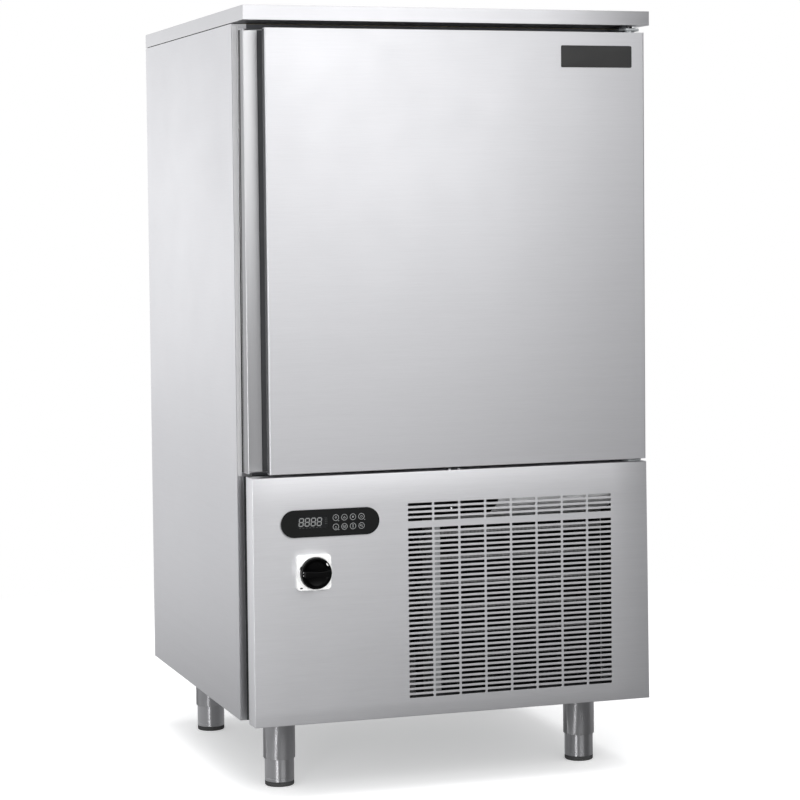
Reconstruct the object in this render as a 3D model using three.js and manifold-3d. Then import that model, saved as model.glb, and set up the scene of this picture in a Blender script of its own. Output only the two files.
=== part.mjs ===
// Upright blast chiller: a free-standing stainless cabinet with one full-width door on pivot hinges,
// a ten-level chamber cooled by two fans, and a condensing unit behind a slotted lower front panel.
// Millimetres. X runs to the right, Y from the front into the cabinet, Z up from the floor.
import * as THREE from 'three';
import { mergeVertices } from 'three/addons/utils/BufferGeometryUtils.js';
import Module from 'manifold-3d';

const wasm = await Module();
wasm.setup();

// ---- Cabinet ---------------------------------------------------------------------------------
const cabinetWidth = 780;
const cabinetDepth = 780;
const cabinetHeight = 1426;
const legHeight = 138;
const sheet = 1.2;
const seat = 0.3;
const bend = 3;
const coverEdge = 26;
const coverHem = 20;
const coverJoint = 1.5;
const cabinetFace = 82;
const frontFlange = 28;
const flangeLip = 12;
const backFlange = 20;
const compartmentHeight = 462;
const insulation = 70;
const floorInsulation = 60;
const backInsulation = 60;
const roofInsulation = 66;
const glandInset = 80;
const knockoutDiameter = 18;
const knockoutDepth = 6;
const linerSheet = 1;
const breakerDepth = 13.4;
const breakerDrop = 16;

// ---- Door ------------------------------------------------------------------------------------
const doorSetback = 4.4;
const doorInset = 8;
const doorOverlap = 8;
const doorThickness = 60;
const doorTopGap = 13;
const gripWidth = 32;
const lipSetback = 27.6;
const lipRadius = 1.5;
const skinReturn = 13.6;
const recessDepth = 52;
const recessReach = 14;
const recessWall = 1.5;
const handleWall = 1.5;
const panSheet = 1.2;
const panRise = 7;
const panBevel = 8;
const gasketWidth = 27;
const gasketInset = 8;
const pivotInset = 22;
const pivotSetback = 19.6;
const pinDiameter = 12;
const pinClearance = 0.4;
const pinLength = 24;
const hingePlate = 4;
const lowerHingePlate = 3;
const lowerHingeGap = 1.7;
const hingeNose = 14;
const hingeCorner = 8;
const hingeHalfWidth = 20;
const hingeLegHeight = 80;

// ---- Front panel, grille and controls ----------------------------------------------------------
const panelGap = 5.5;
const panelInset = 7.3;
const panelFlange = 43.6;
const panelLip = 14;
const slotWidth = 45.4;
const slotHeight = 4.6;
const slotPitchX = 50.1;
const slotPitchZ = 9.15;
const slotColumns = 8;
const slotRowsTop = 4;
const slotRowsMain = 34;
const slotFirstInset = 451;
const slotTopDrop = 61.1;
const slotMainDrop = 106.3;
const fasciaWidth = 184.6;
const fasciaHeight = 49.2;
const fasciaThickness = 3.2;
const fasciaInset = 144;
const fasciaDrop = 84.5;
const displayWidth = 58;
const displayHeight = 24;
const displayOffset = 34.9;
const displayRise = 2;
const displayThickness = 1;
const keyDiameter = 13;
const keyClearance = 0.3;
const keyPitchX = 16.1;
const keyPitchZ = 16.7;
const keyColumns = 4;
const keyFirstOffset = 9.6;
const keyTopRise = 8.6;
const keyProud = 0.9;
const keyStroke = 0.6;
const keySides = 12;
const windowMargin = 7;
const controlBoxWidth = 196;
const controlBoxHeight = 72;
const controlBoxDepth = 68;
const switchInset = 111.2;
const switchDrop = 172.5;
const switchPlateSize = 64;
const switchPlateThickness = 8;
const switchPlateRadius = 7;
const switchRing = 2.6;
const switchRingProud = 4;
const switchDish = 2;
const knobDiameter = 57.6;
const knobDish = 16;
const knobGrip = 10;
const knobGripWidth = 15;
const knobFloor = 4;
const waistRadius = 34;
const waistOffset = 39;
const knobClearance = 0.4;
const shaftDiameter = 12;
const switchBodySize = 60;
const switchBodyDepth = 66;
const shaftReach = 16;
const terminalPitch = 18;
const terminalWidth = 12;
const terminalDepth = 9;
const carrierBar = 26;

// ---- Legs --------------------------------------------------------------------------------------
const legInset = 90;
const legFrontInset = 145;
const legRearInset = 113;
const sleeveDiameter = 59.4;
const sleeveBottom = 51;
const adjusterDiameter = 54.6;
const adjusterTop = 98;
const sleeveBore = 130;
const padHeight = 8;
const padRound = 2.5;
const legSides = 16;

// ---- Chamber fittings --------------------------------------------------------------------------
const trayPitch = 61;
const rackMargin = 60;
const rackDepth = 400;
const rackSetback = 40;
const uprightWidth = 30;
const uprightDepth = 9;
const slideWidth = 26;
const slideSheet = 1.5;
const ductDepth = 156;
const ductWidth = 540;
const fanHole = 208;
const fanDiameter = 198;
const fanHub = 84;
const fanDepth = 30;
const fanRise = 160;
const guardDiameter = 226;
const guardWire = 4;
const guardInnerRing = 140;
const guardStandoff = 26;
const fanMotorDepth = 12;
const fanBlades = 5;
const coilFins = 14;
const coilFinDepth = 22;
const coilEnd = 12;
const coilClearance = 24;
const coilMargin = 40;

// ---- Condensing unit ---------------------------------------------------------------------------
const condenserWidth = 340;
const condenserHeight = 345;
const condenserDepth = 60;
const condenserShift = 76;
const condenserSetback = 88;
const condenserFins = 16;
const finGap = 3;
const finDepth = 14;
const finMargin = 12;
const endPlate = 2;
const returnBends = 5;
const returnRadius = 17;
const tubeDiameter = 10;
const shroudDepth = 46;
const condenserFanDiameter = 252;
const condenserFanHub = 72;
const condenserFanDepth = 34;
const fanRingClearance = 6;
const fanRingWall = 2;
const fanRingDepth = 14;
const motorDiameter = 84;
const motorDepth = 70;
const motorArm = 18;
const motorArmSheet = 3;
const motorArmSpread = 24;
const motorArmReach = 22;
const compressorDiameter = 176;
const compressorHeight = 250;
const compressorInset = 240;
const compressorSetback = 310;
const compressorFoot = 4;
const compressorSeam = 4;
const compressorDome = 55;
const compressorBase = 30;
const terminalBoxWidth = 60;
const terminalBoxHeight = 70;
const terminalBoxDepth = 22;
const stubDiameter = 12;
const receiverDiameter = 90;
const receiverHeight = 230;
const receiverInset = 200;
const receiverSetback = 320;
const receiverFoot = 12;
const valveDiameter = 12;
const valveHeight = 26;
const louvreRows = 10;
const louvreWidth = 250;
const louvreHeight = 8;
const louvrePitch = 24;
const glandOffset = 140;
const glandBore = 9;
const glandThread = 20;
const glandNut = 26;

// ---- Places worked out from the sizes above ------------------------------------------------------
const halfWidth = cabinetWidth / 2;
const coverBottom = cabinetHeight - coverEdge;
const sideTop = coverBottom - coverJoint;
const bodyBottom = legHeight;
const deckZ = bodyBottom + compartmentHeight;
const floorZ = deckZ + floorInsulation;
const ceilingZ = coverBottom - roofInsulation;
const chamberHalf = halfWidth - sheet - seat - insulation;
const foamFront = cabinetFace + breakerDepth + 2 * seat;
const backSkin = cabinetDepth - sheet - seat;
const foamBack = backSkin - sheet - seat;
const chamberBack = foamBack - backInsulation;

const doorHalf = halfWidth - doorInset;
const doorFront = doorSetback;
const doorBack = doorFront + doorThickness;
const doorTop = coverBottom - doorTopGap;
const doorBottom = deckZ - doorOverlap;
const skinLeft = -doorHalf + gripWidth;
const lipY = doorFront + lipSetback;
const returnY = doorFront + skinReturn;
const recessY = doorFront + recessDepth;
const recessRight = skinLeft + recessReach;
const panFront = doorBack - panSheet;
const skinBack = panFront - seat;
const pivotX = doorHalf - pivotInset;
const pivotY = doorFront + pivotSetback;

const panelHalf = halfWidth - panelInset;
const panelFront = doorSetback;
const panelBack = panelFront + panelFlange;
const panelTop = doorBottom - panelGap;
const panelBottom = bodyBottom;
const slotFirstX = panelHalf - slotFirstInset;
const slotTopZ = panelTop - slotTopDrop;
const slotMainZ = panelTop - slotMainDrop;
const fasciaX = -panelHalf + fasciaInset;
const fasciaZ = panelTop - fasciaDrop;
const displayX = fasciaX - displayOffset;
const displayZ = fasciaZ + displayRise;
const keyFirstX = fasciaX + keyFirstOffset;
const keyTopZ = fasciaZ + keyTopRise;
const switchX = -panelHalf + switchInset;
const switchZ = panelTop - switchDrop;
const fasciaFront = panelFront - seat - fasciaThickness;
const plateFront = panelFront - seat - switchPlateThickness;
const knobFront = plateFront - knobDish - knobGrip;

const ductFront = chamberBack - linerSheet - seat - ductDepth;
const fanLowerZ = (floorZ + ceilingZ) / 2 - fanRise;
const fanUpperZ = (floorZ + ceilingZ) / 2 + fanRise;
const panZ = bodyBottom + sheet;
const condenserZ = panZ + seat;
const shroudFront = condenserSetback + condenserDepth + seat;
const condenserX = slotFirstX - slotWidth / 2 + condenserShift + condenserWidth / 2;
const condenserFanZ = condenserZ + condenserHeight / 2;
const legX = halfWidth - legInset;
const legFrontY = legFrontInset;
const legRearY = cabinetDepth - legRearInset;
const compressorX = -halfWidth + compressorInset;
const compressorY = cabinetDepth - compressorSetback;
const receiverX = halfWidth - receiverInset;
const receiverY = cabinetDepth - receiverSetback;
const glandX = -halfWidth + glandOffset;
const glandY = cabinetDepth - glandInset;

// The frame's origin lies on the floor, in the middle of the outer box, knob included.
const originY = (cabinetDepth + knobFront) / 2;

// ---- Materials ---------------------------------------------------------------------------------
const material = (colour, roughness, metalness) =>
  new THREE.MeshStandardMaterial({ color: colour, roughness, metalness });
const stainless = material(0xc9cacd, 0.35, 1);
const brightStainless = material(0xd8d9dc, 0.22, 1);
const galvanised = material(0x9fa3a6, 0.5, 1);
const aluminium = material(0xb9bcbf, 0.4, 1);
const darkPlastic = material(0x46484c, 0.55, 0);
const blackPlastic = material(0x17181a, 0.4, 0);
const whitePlastic = material(0xeeeeec, 0.4, 0);
const rubber = material(0x1c1c1d, 0.8, 0);
const foam = material(0xd9c99a, 0.9, 0);
const smokedGlass = material(0x101214, 0.08, 0);
const blackSteel = material(0x1b1c1e, 0.45, 0.4);

// ---- Shape helpers -------------------------------------------------------------------------------
// Closed solid of a geometry, its corners rounded to a thousandth so that faces meant to meet do meet.
function solid(geometry) {
  const bare = geometry.clone();
  bare.deleteAttribute('normal');
  bare.deleteAttribute('uv');
  const corners = bare.attributes.position.array;
  corners.forEach((value, index) => { corners[index] = Math.round(value * 1000) / 1000; });
  const merged = mergeVertices(bare, 1e-4);
  const vertProperties = Float32Array.from(merged.attributes.position.array);
  const triVerts = Uint32Array.from(merged.index.array);
  return new wasm.Manifold(new wasm.Mesh({ numProp: 3, vertProperties, triVerts }));
}

function shell(body) {
  const { vertProperties, triVerts } = body.getMesh();
  const geometry = new THREE.BufferGeometry();
  geometry.setAttribute('position', new THREE.BufferAttribute(vertProperties, 3));
  geometry.setIndex(new THREE.BufferAttribute(triVerts, 1));
  geometry.computeVertexNormals();
  return geometry;
}

const join = (first, ...others) => others.reduce((sum, other) => sum.add(other), first);
const cut = (first, ...others) => others.reduce((rest, other) => rest.subtract(other), first);

// Box between two corners, given as [low, high] on each axis.
function block([x0, x1], [y0, y1], [z0, z1]) {
  const geometry = new THREE.BoxGeometry(x1 - x0, y1 - y0, z1 - z0);
  return solid(geometry.translate((x0 + x1) / 2, (y0 + y1) / 2, (z0 + z1) / 2));
}

const outline = (points) => new THREE.Shape(points.map(([u, v]) => new THREE.Vector2(u, v)));

// Outline in X and Y, carried up from z0 to z1.
function upright(shape, z0, z1, curveSegments = 12) {
  const geometry = new THREE.ExtrudeGeometry(shape, { depth: z1 - z0, bevelEnabled: false, curveSegments });
  return solid(geometry.translate(0, 0, z0));
}

// Outline in X and Z as seen from the front, carried back from y0 to y1.
function plate(shape, y0, y1, curveSegments = 12) {
  const geometry = new THREE.ExtrudeGeometry(shape, { depth: y1 - y0, bevelEnabled: false, curveSegments });
  return solid(geometry.rotateX(Math.PI / 2).translate(0, y1, 0));
}

// Outline in Y and Z, carried to the right from x0 to x1.
function side(shape, x0, x1, curveSegments = 12) {
  const geometry = new THREE.ExtrudeGeometry(shape, { depth: x1 - x0, bevelEnabled: false, curveSegments });
  return solid(geometry.rotateX(Math.PI / 2).rotateZ(Math.PI / 2).translate(x0, 0, 0));
}

// Turned profile of [radius, height] pairs about Z, standing on (x, y, z).
function turned(profile, x, y, z, segments = 24) {
  const points = profile.map(([r, h]) => new THREE.Vector2(r, h));
  return solid(new THREE.LatheGeometry(points, segments).rotateX(Math.PI / 2).translate(x, y, z));
}

// Turned profile of [radius, depth] pairs about a line that runs back from (x, y, z).
function turnedBack(profile, x, y, z, segments = 24) {
  const points = profile.map(([r, h]) => new THREE.Vector2(r, h));
  return solid(new THREE.LatheGeometry(points, segments).translate(x, y, z));
}

const rod = (radius, [z0, z1], x, y, segments = 24) =>
  turned([[0, 0], [radius, 0], [radius, z1 - z0], [0, z1 - z0]], x, y, z0, segments);

const rodBack = (radius, [y0, y1], x, z, segments = 24) =>
  turnedBack([[0, 0], [radius, 0], [radius, y1 - y0], [0, y1 - y0]], x, y0, z, segments);

// Rectangle with round corners, centred on (u, v).
function roundedRectangle(width, height, radius, u = 0, v = 0) {
  const shape = new THREE.Shape();
  const [left, right] = [u - width / 2, u + width / 2];
  const [low, high] = [v - height / 2, v + height / 2];
  shape.moveTo(left + radius, low);
  shape.lineTo(right - radius, low);
  shape.absarc(right - radius, low + radius, radius, -Math.PI / 2, 0);
  shape.lineTo(right, high - radius);
  shape.absarc(right - radius, high - radius, radius, 0, Math.PI / 2);
  shape.lineTo(left + radius, high);
  shape.absarc(left + radius, high - radius, radius, Math.PI / 2, Math.PI);
  shape.lineTo(left, low + radius);
  shape.absarc(left + radius, low + radius, radius, Math.PI, Math.PI * 1.5);
  return shape;
}

const model = new THREE.Group();
model.position.y = -originY;

function add(name, body, finish, place = [0, 0, 0]) {
  const mesh = new THREE.Mesh(shell(body), finish);
  mesh.name = name;
  mesh.position.set(...place);
  model.add(mesh);
}

// ---- Cabinet shell -------------------------------------------------------------------------------
// Folded cover: hemmed underneath, and closed below where it overhangs the door.
function topCover() {
  const outer = block([-halfWidth, halfWidth], [0, cabinetDepth], [coverBottom, cabinetHeight]);
  const inside = halfWidth - sheet;
  const hollow = block([-inside, inside], [sheet, cabinetDepth - sheet],
    [coverBottom + sheet, cabinetHeight - sheet]);
  const mouth = halfWidth - sheet - coverHem;
  const opening = block([-mouth, mouth], [foamFront - seat, cabinetDepth - sheet - coverHem],
    [coverBottom - 1, coverBottom + 2 * sheet]);
  add('top_cover', cut(outer, hollow, opening), stainless);
}

// Side skin with a front flange and its lip, a back flange, and a top flange over the insulation.
function sidePanel(name, hand) {
  const inner = halfWidth - sheet;
  const flange = halfWidth - frontFlange;
  const back = halfWidth - backFlange;
  const section = outline([
    [halfWidth, cabinetFace], [halfWidth, cabinetDepth], [back, cabinetDepth], [back, cabinetDepth - sheet],
    [inner, cabinetDepth - sheet], [inner, cabinetFace + sheet], [flange + sheet, cabinetFace + sheet],
    [flange + sheet, cabinetFace + flangeLip], [flange, cabinetFace + flangeLip], [flange, cabinetFace],
  ]);
  const skin = upright(section, bodyBottom, sideTop);
  const top = block([back + seat, halfWidth - sheet / 2],
    [cabinetFace + flangeLip + seat, cabinetDepth - sheet / 2], [sideTop - sheet, sideTop]);
  const panel = join(skin, top);
  add(name, hand > 0 ? panel : panel.mirror([1, 0, 0]), stainless);
}

function backPanel() {
  const half = halfWidth - sheet - seat;
  const panel = block([-half, half], [backSkin - sheet, backSkin], [deckZ + seat, sideTop - sheet - seat]);
  add('back_panel', panel, stainless);
}

function rearGrille() {
  const half = halfWidth - sheet - seat;
  const bottom = panZ + seat;
  const slots = [];
  for (let row = 0; row < louvreRows; row += 1) {
    const z = bottom + compartmentHeight / 3 + row * louvrePitch;
    for (const hand of [-1, 1]) {
      const x = hand * (louvreWidth / 2 + coverHem);
      slots.push(block([x - louvreWidth / 2, x + louvreWidth / 2], [backSkin - 2 * sheet, backSkin + sheet],
        [z - louvreHeight / 2, z + louvreHeight / 2]));
    }
  }
  const panel = block([-half, half], [backSkin - sheet, backSkin], [bottom, deckZ]);
  add('rear_grille', cut(panel, wasm.Manifold.union(slots)), stainless);
}

// Floor tray of the machine compartment, with upturned edges and a hole for the cable gland.
function basePan() {
  const half = halfWidth - sheet - seat;
  const front = cabinetFace + sheet + seat;
  const back = backSkin - sheet - seat;
  const tray = block([-half, half], [front, back], [bodyBottom, panZ + coverHem]);
  const hollow = block([-half + sheet, half - sheet], [front + sheet, back - sheet], [panZ, panZ + 2 * coverHem]);
  const corners = [-1, 1].map((hand) => block(
    [hand * halfWidth - frontFlange - seat, hand * halfWidth + frontFlange + seat],
    [front - 1, cabinetFace + flangeLip + seat], [bodyBottom - 1, panZ + 2 * coverHem]));
  const gland = rod(glandThread / 2 + knobClearance, [bodyBottom - 1, panZ + 1], glandX, glandY, 16);
  add('base_pan', cut(tray, hollow, gland, ...corners), galvanised);
}

// Foamed body round the chamber: one block with its cavity open to the front, and a raised top
// that fills the cover.
function chamberInsulation() {
  const half = halfWidth - sheet - seat;
  const body = block([-half, half], [foamFront, foamBack], [deckZ + seat, sideTop - sheet - seat]);
  const raised = half - coverHem - sheet;
  const roof = block([-raised, raised], [foamFront, cabinetDepth - sheet - coverHem - seat],
    [sideTop - 2 * sheet, cabinetHeight - sheet - seat]);
  const cavity = block([-chamberHalf, chamberHalf], [foamFront - 1, chamberBack], [floorZ, ceilingZ]);
  add('chamber_insulation', cut(join(body, roof), cavity), foam);
}

const linerHalf = chamberHalf - seat - linerSheet;
const linerFloor = floorZ + seat + linerSheet;
const linerCeiling = ceilingZ - seat - linerSheet;
const linerBack = chamberBack - seat - linerSheet;

function chamberLiner() {
  const wall = linerSheet;
  const outer = block([-linerHalf - wall, linerHalf + wall], [foamFront, linerBack + wall],
    [linerFloor - wall, linerCeiling + wall]);
  const inner = block([-linerHalf, linerHalf], [foamFront - 1, linerBack], [linerFloor, linerCeiling]);
  add('chamber_liner', cut(outer, inner), stainless);
}

// Thermal break round the chamber's mouth, the face that the door's gasket closes on.
function frontFrame() {
  const half = halfWidth - frontFlange - seat;
  const z = [deckZ - breakerDrop, sideTop - seat];
  const ring = block([-half, half], [cabinetFace, cabinetFace + breakerDepth], z);
  const mouth = block([-linerHalf, linerHalf], [cabinetFace - 1, foamFront], [linerFloor, linerCeiling]);
  add('front_frame', cut(ring, mouth), darkPlastic);
}

// ---- Door ----------------------------------------------------------------------------------------
// Cove of the grip, from the lip's front edge back to the recess floor.
function coveCurve(offset = 0) {
  const start = new THREE.Vector2(-doorHalf + lipRadius + offset, lipY + offset);
  const middle = new THREE.Vector2(-doorHalf + gripWidth * 0.3, recessY - 2 + offset);
  const end = new THREE.Vector2(skinLeft - 2, recessY + offset);
  return new THREE.QuadraticBezierCurve(start, middle, end).getPoints(7).map((p) => [p.x, p.y]);
}

// Section of the door in X and Y, open at the finger recess.
function doorSection() {
  return outline([
    [skinLeft, doorFront], [doorHalf, doorFront], [doorHalf, skinBack], [-doorHalf, skinBack],
    [-doorHalf, lipY + lipRadius], ...coveCurve(), [recessRight, recessY], [recessRight, returnY],
    [skinLeft, returnY],
  ]);
}

// Front sheet with its right side and left return bent back on a small radius.
function skinSection() {
  const shape = new THREE.Shape();
  shape.moveTo(skinLeft, returnY);
  shape.lineTo(skinLeft, doorFront + bend);
  shape.absarc(skinLeft + bend, doorFront + bend, bend, Math.PI, Math.PI * 1.5);
  shape.lineTo(doorHalf - bend, doorFront);
  shape.absarc(doorHalf - bend, doorFront + bend, bend, -Math.PI / 2, 0);
  shape.lineTo(doorHalf, skinBack);
  shape.lineTo(doorHalf - sheet, skinBack);
  shape.lineTo(doorHalf - sheet, doorFront + bend);
  shape.absarc(doorHalf - bend, doorFront + bend, bend - sheet, 0, -Math.PI / 2, true);
  shape.lineTo(skinLeft + bend, doorFront + sheet);
  shape.absarc(skinLeft + bend, doorFront + bend, bend - sheet, Math.PI * 1.5, Math.PI, true);
  shape.lineTo(skinLeft + sheet, returnY);
  return shape;
}

const pinHole = (z0, z1) => rod(pinDiameter / 2 + pinClearance, [z0, z1], pivotX, pivotY);

function doorSkin() {
  const wrap = upright(skinSection(), doorBottom, doorTop, 4);
  const corners = upright(skinCorners(), doorBottom - 1, doorTop + 1, 4);
  const caps = [doorBottom, doorTop - sheet].map((z) => cut(upright(doorSection(), z, z + sheet), corners));
  add('door_skin', cut(join(wrap, ...caps), pinHole(doorBottom - 1, doorTop + 1)), stainless);
}

// The waste outside the two rounded front edges, which trims the door's top and bottom caps.
function skinCorners() {
  const shape = new THREE.Shape();
  shape.moveTo(skinLeft - 1, doorFront - 1);
  shape.lineTo(doorHalf + 1, doorFront - 1);
  shape.lineTo(doorHalf + 1, doorFront + bend);
  shape.lineTo(doorHalf, doorFront + bend);
  shape.absarc(doorHalf - bend, doorFront + bend, bend, 0, -Math.PI / 2, true);
  shape.lineTo(skinLeft + bend, doorFront);
  shape.absarc(skinLeft + bend, doorFront + bend, bend, -Math.PI / 2, -Math.PI, true);
  shape.lineTo(skinLeft - 1, doorFront + bend);
  return shape;
}

const doorInside = [doorBottom + sheet + seat, doorTop - sheet - seat];

// Full-height grip: a hollow profile with an outer lip and a cove for the fingers.
function doorHandle() {
  const shape = outline([
    [skinLeft, recessY], [skinLeft, skinBack], [-doorHalf, skinBack],
    [-doorHalf, lipY + lipRadius], ...coveCurve(),
  ]);
  const hollow = [
    [skinLeft - handleWall, recessY + 2 * handleWall], [skinLeft - handleWall, skinBack - handleWall],
    [-doorHalf + handleWall, skinBack - handleWall],
    ...coveCurve(handleWall * 1.6).slice(2, -1),
  ];
  shape.holes.push(new THREE.Path(hollow.map(([u, v]) => new THREE.Vector2(u, v))));
  add('door_handle', upright(shape, ...doorInside), brightStainless);
}

// Dark channel behind the skin's left edge, where the fingertips hook in.
function fingerRecess() {
  const outerX = recessRight + recessWall;
  const low = returnY + seat;
  const high = recessY + recessWall;
  const shape = outline([
    [skinLeft + seat, recessY], [recessRight, recessY], [recessRight, low + recessWall],
    [skinLeft + sheet, low + recessWall], [skinLeft + sheet, low], [outerX, low], [outerX, high],
    [skinLeft + seat, high],
  ]);
  add('finger_recess', upright(shape, ...doorInside), darkPlastic);
}

// Foam core, filling the door round the finger recess.
function doorFoam() {
  const left = recessRight + recessWall + seat;
  const edge = skinLeft + sheet + seat;
  const right = doorHalf - sheet - seat;
  const front = doorFront + sheet + seat;
  const recessFloor = recessY + recessWall + seat;
  const core = upright(outline([[edge, front + bend], [edge + bend, front], [right - bend, front],
    [right, front + bend], [right, skinBack], [skinLeft + seat, skinBack], [skinLeft + seat, recessFloor],
    [left, recessFloor], [left, returnY], [edge, returnY]]), ...doorInside);
  const top = pinHole(doorTop - pinLength - 1, doorTop + 1);
  const bottom = pinHole(doorBottom - 1, doorBottom + pinLength + 1);
  add('door_foam', cut(core, top, bottom), foam);
}

// Gasket loop: its inner edge stands clear of the chamber's mouth by gasketInset.
const gasketInner = linerHalf + gasketInset;
const gasketLow = linerFloor - gasketInset;
const gasketHigh = linerCeiling + gasketInset;

// Inner door panel: a sheet with a raised field inside the gasket.
function doorPan() {
  const base = block([-doorHalf, doorHalf], [panFront, doorBack], [doorBottom, doorTop]);
  const reach = gasketInner - panBevel;
  const [low, high] = [gasketLow + panBevel, gasketHigh - panBevel];
  const field = outline([[-reach + panRise, low + panRise], [reach - panRise, low + panRise],
    [reach - panRise, high - panRise], [-reach + panRise, high - panRise]]);
  const geometry = new THREE.ExtrudeGeometry(field, {
    depth: 0.5, bevelEnabled: true, bevelThickness: panRise, bevelSize: panRise, bevelSegments: 1,
  });
  const bulge = solid(geometry.rotateX(Math.PI / 2).translate(0, doorBack, 0));
  add('door_pan', join(base, cut(bulge, block([-doorHalf, doorHalf], [0, panFront], [0, cabinetHeight]))),
    stainless);
}

// Magnetic gasket: a mitred loop of one bulb section with a fold on each flank.
function doorGasket() {
  const depth = cabinetFace - seat - (doorBack + seat);
  const section = [[0, 0], [1, 0], [1, 0.22], [0.86, 0.36], [1, 0.5], [1, 1], [0, 1], [0, 0.5], [0.14, 0.36],
    [0, 0.22]];
  const ring = [];
  const corner = ([u, v], hx, hz) => new THREE.Vector3(
    hx * (gasketInner + u * gasketWidth), doorBack + seat + v * depth,
    hz > 0 ? gasketHigh + u * gasketWidth : gasketLow - u * gasketWidth);
  for (const [hx, hz] of [[-1, -1], [1, -1], [1, 1], [-1, 1]]) {
    ring.push(section.map((point) => corner(point, hx, hz)));
  }
  const positions = [];
  for (let k = 0; k < 4; k += 1) {
    const [here, next] = [ring[k], ring[(k + 1) % 4]];
    for (let i = 0; i < section.length; i += 1) {
      const j = (i + 1) % section.length;
      positions.push(here[i], here[j], next[i], here[j], next[j], next[i]);
    }
  }
  const geometry = new THREE.BufferGeometry().setFromPoints(positions);
  add('door_gasket', solid(geometry), rubber);
}

// Cabinet half of a pivot hinge: an angle screwed to the cabinet's face, with the door's pin.
function hingeBracket(name, low, thickness, hand) {
  const x = [pivotX - hingeHalfWidth, pivotX + hingeHalfWidth];
  const nose = pivotY - hingeNose;
  const tongue = outline([[x[0], cabinetFace - seat], [x[0], pivotY], [x[0] + hingeCorner, nose],
    [x[1] - hingeCorner, nose], [x[1], pivotY], [x[1], cabinetFace - seat]]);
  const arm = upright(tongue, low, low + thickness);
  const legZ = hand > 0 ? [low, low + hingeLegHeight] : [low + thickness - hingeLegHeight, low + thickness];
  const legX0 = gasketInner + gasketWidth + hingePlate;
  const leg = block([legX0, x[1]], [cabinetFace - seat - hingePlate, cabinetFace - seat], legZ);
  const pinZ = hand > 0 ? [low, doorBottom + pinLength] : [doorTop - pinLength, low + thickness];
  const collarZ = hand > 0 ? [low, doorBottom - seat] : [doorTop + seat, low + thickness];
  const pin = rod(pinDiameter / 2, pinZ, pivotX, pivotY);
  const collar = rod(pinDiameter / 2 + hingePlate, collarZ, pivotX, pivotY);
  add(name, join(arm, leg, pin, collar), galvanised);
}

// ---- Front panel and controls --------------------------------------------------------------------
function grilleSlots() {
  const rows = [];
  for (let row = 0; row < slotRowsTop; row += 1) rows.push(slotTopZ - row * slotPitchZ);
  for (let row = 0; row < slotRowsMain; row += 1) rows.push(slotMainZ - row * slotPitchZ);
  const slots = [];
  for (const z of rows) {
    for (let column = 0; column < slotColumns; column += 1) {
      const x = slotFirstX + column * slotPitchX;
      slots.push(block([x - slotWidth / 2, x + slotWidth / 2], [panelFront - 1, panelFront + 2 * sheet],
        [z - slotHeight / 2, z + slotHeight / 2]));
    }
  }
  return wasm.Manifold.union(slots);
}

const windowHalfWidth = fasciaWidth / 2 - fasciaHeight / 4;
const windowHalfHeight = fasciaHeight / 2 - windowMargin;

function frontPanel() {
  const outer = block([-panelHalf, panelHalf], [panelFront, panelBack], [panelBottom, panelTop]);
  const hollow = block([-panelHalf + sheet, panelHalf - sheet], [panelFront + sheet, panelBack - sheet],
    [panelBottom + sheet, panelTop - sheet]);
  const back = block([-panelHalf + panelLip, panelHalf - panelLip], [panelBack - 2 * sheet, panelBack + 1],
    [panelBottom + panelLip, panelTop - panelLip]);
  const window = block([fasciaX - windowHalfWidth, fasciaX + windowHalfWidth],
    [panelFront - 1, panelFront + 2 * sheet], [fasciaZ - windowHalfHeight, fasciaZ + windowHalfHeight]);
  const shaft = rodBack(shaftDiameter / 2 + 4, [panelFront - 1, panelFront + 2 * sheet], switchX, switchZ);
  add('front_panel', cut(outer, hollow, back, window, shaft, grilleSlots()), stainless);
}

// Folded ring that carries the front panel on the cabinet's face.
function panelCarrier() {
  const half = halfWidth - flangeLip;
  const y = [panelBack + seat, cabinetFace - seat];
  const z = [bodyBottom + seat, deckZ - breakerDrop - seat];
  const inner = half - carrierBar;
  const innerZ = [z[0] + carrierBar, z[1] - carrierBar];
  const bar = block([-half, half], y, z);
  const mouth = block([-inner, inner], [y[0] - 1, y[1] + 1], innerZ);
  const trough = [y[0] + sheet, y[1] - sheet];
  const around = cut(
    block([-half - 1, half + 1], trough, [z[0] - 1, z[1] + 1]),
    block([-inner - sheet, inner + sheet], [y[0], y[1]], [innerZ[0] - sheet, innerZ[1] + sheet]));
  add('panel_carrier', cut(bar, mouth, around), galvanised);
}

const keyPlaces = [];
for (let row = 0; row < 2; row += 1) {
  for (let column = 0; column < keyColumns; column += 1) {
    keyPlaces.push([keyFirstX + column * keyPitchX, keyTopZ - row * keyPitchZ]);
  }
}

function controlFascia() {
  const shape = roundedRectangle(fasciaWidth, fasciaHeight, fasciaHeight / 2 - 0.1, fasciaX, fasciaZ);
  const face = plate(shape, fasciaFront, panelFront - seat, 6);
  const holes = keyPlaces.map(([x, z]) =>
    rodBack(keyDiameter / 2 + keyClearance, [fasciaFront - 1, panelFront], x, z, keySides));
  const pocket = block([displayX - displayWidth / 2, displayX + displayWidth / 2],
    [fasciaFront - 1, fasciaFront + displayThickness],
    [displayZ - displayHeight / 2, displayZ + displayHeight / 2]);
  add('control_fascia', cut(face, pocket, ...holes), blackPlastic);
}

function displayWindow() {
  const shape = roundedRectangle(displayWidth - 2 * seat, displayHeight - 2 * seat, 1, displayX, displayZ);
  add('display_window', plate(shape, fasciaFront, fasciaFront + displayThickness - seat, 1), smokedGlass);
}

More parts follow.
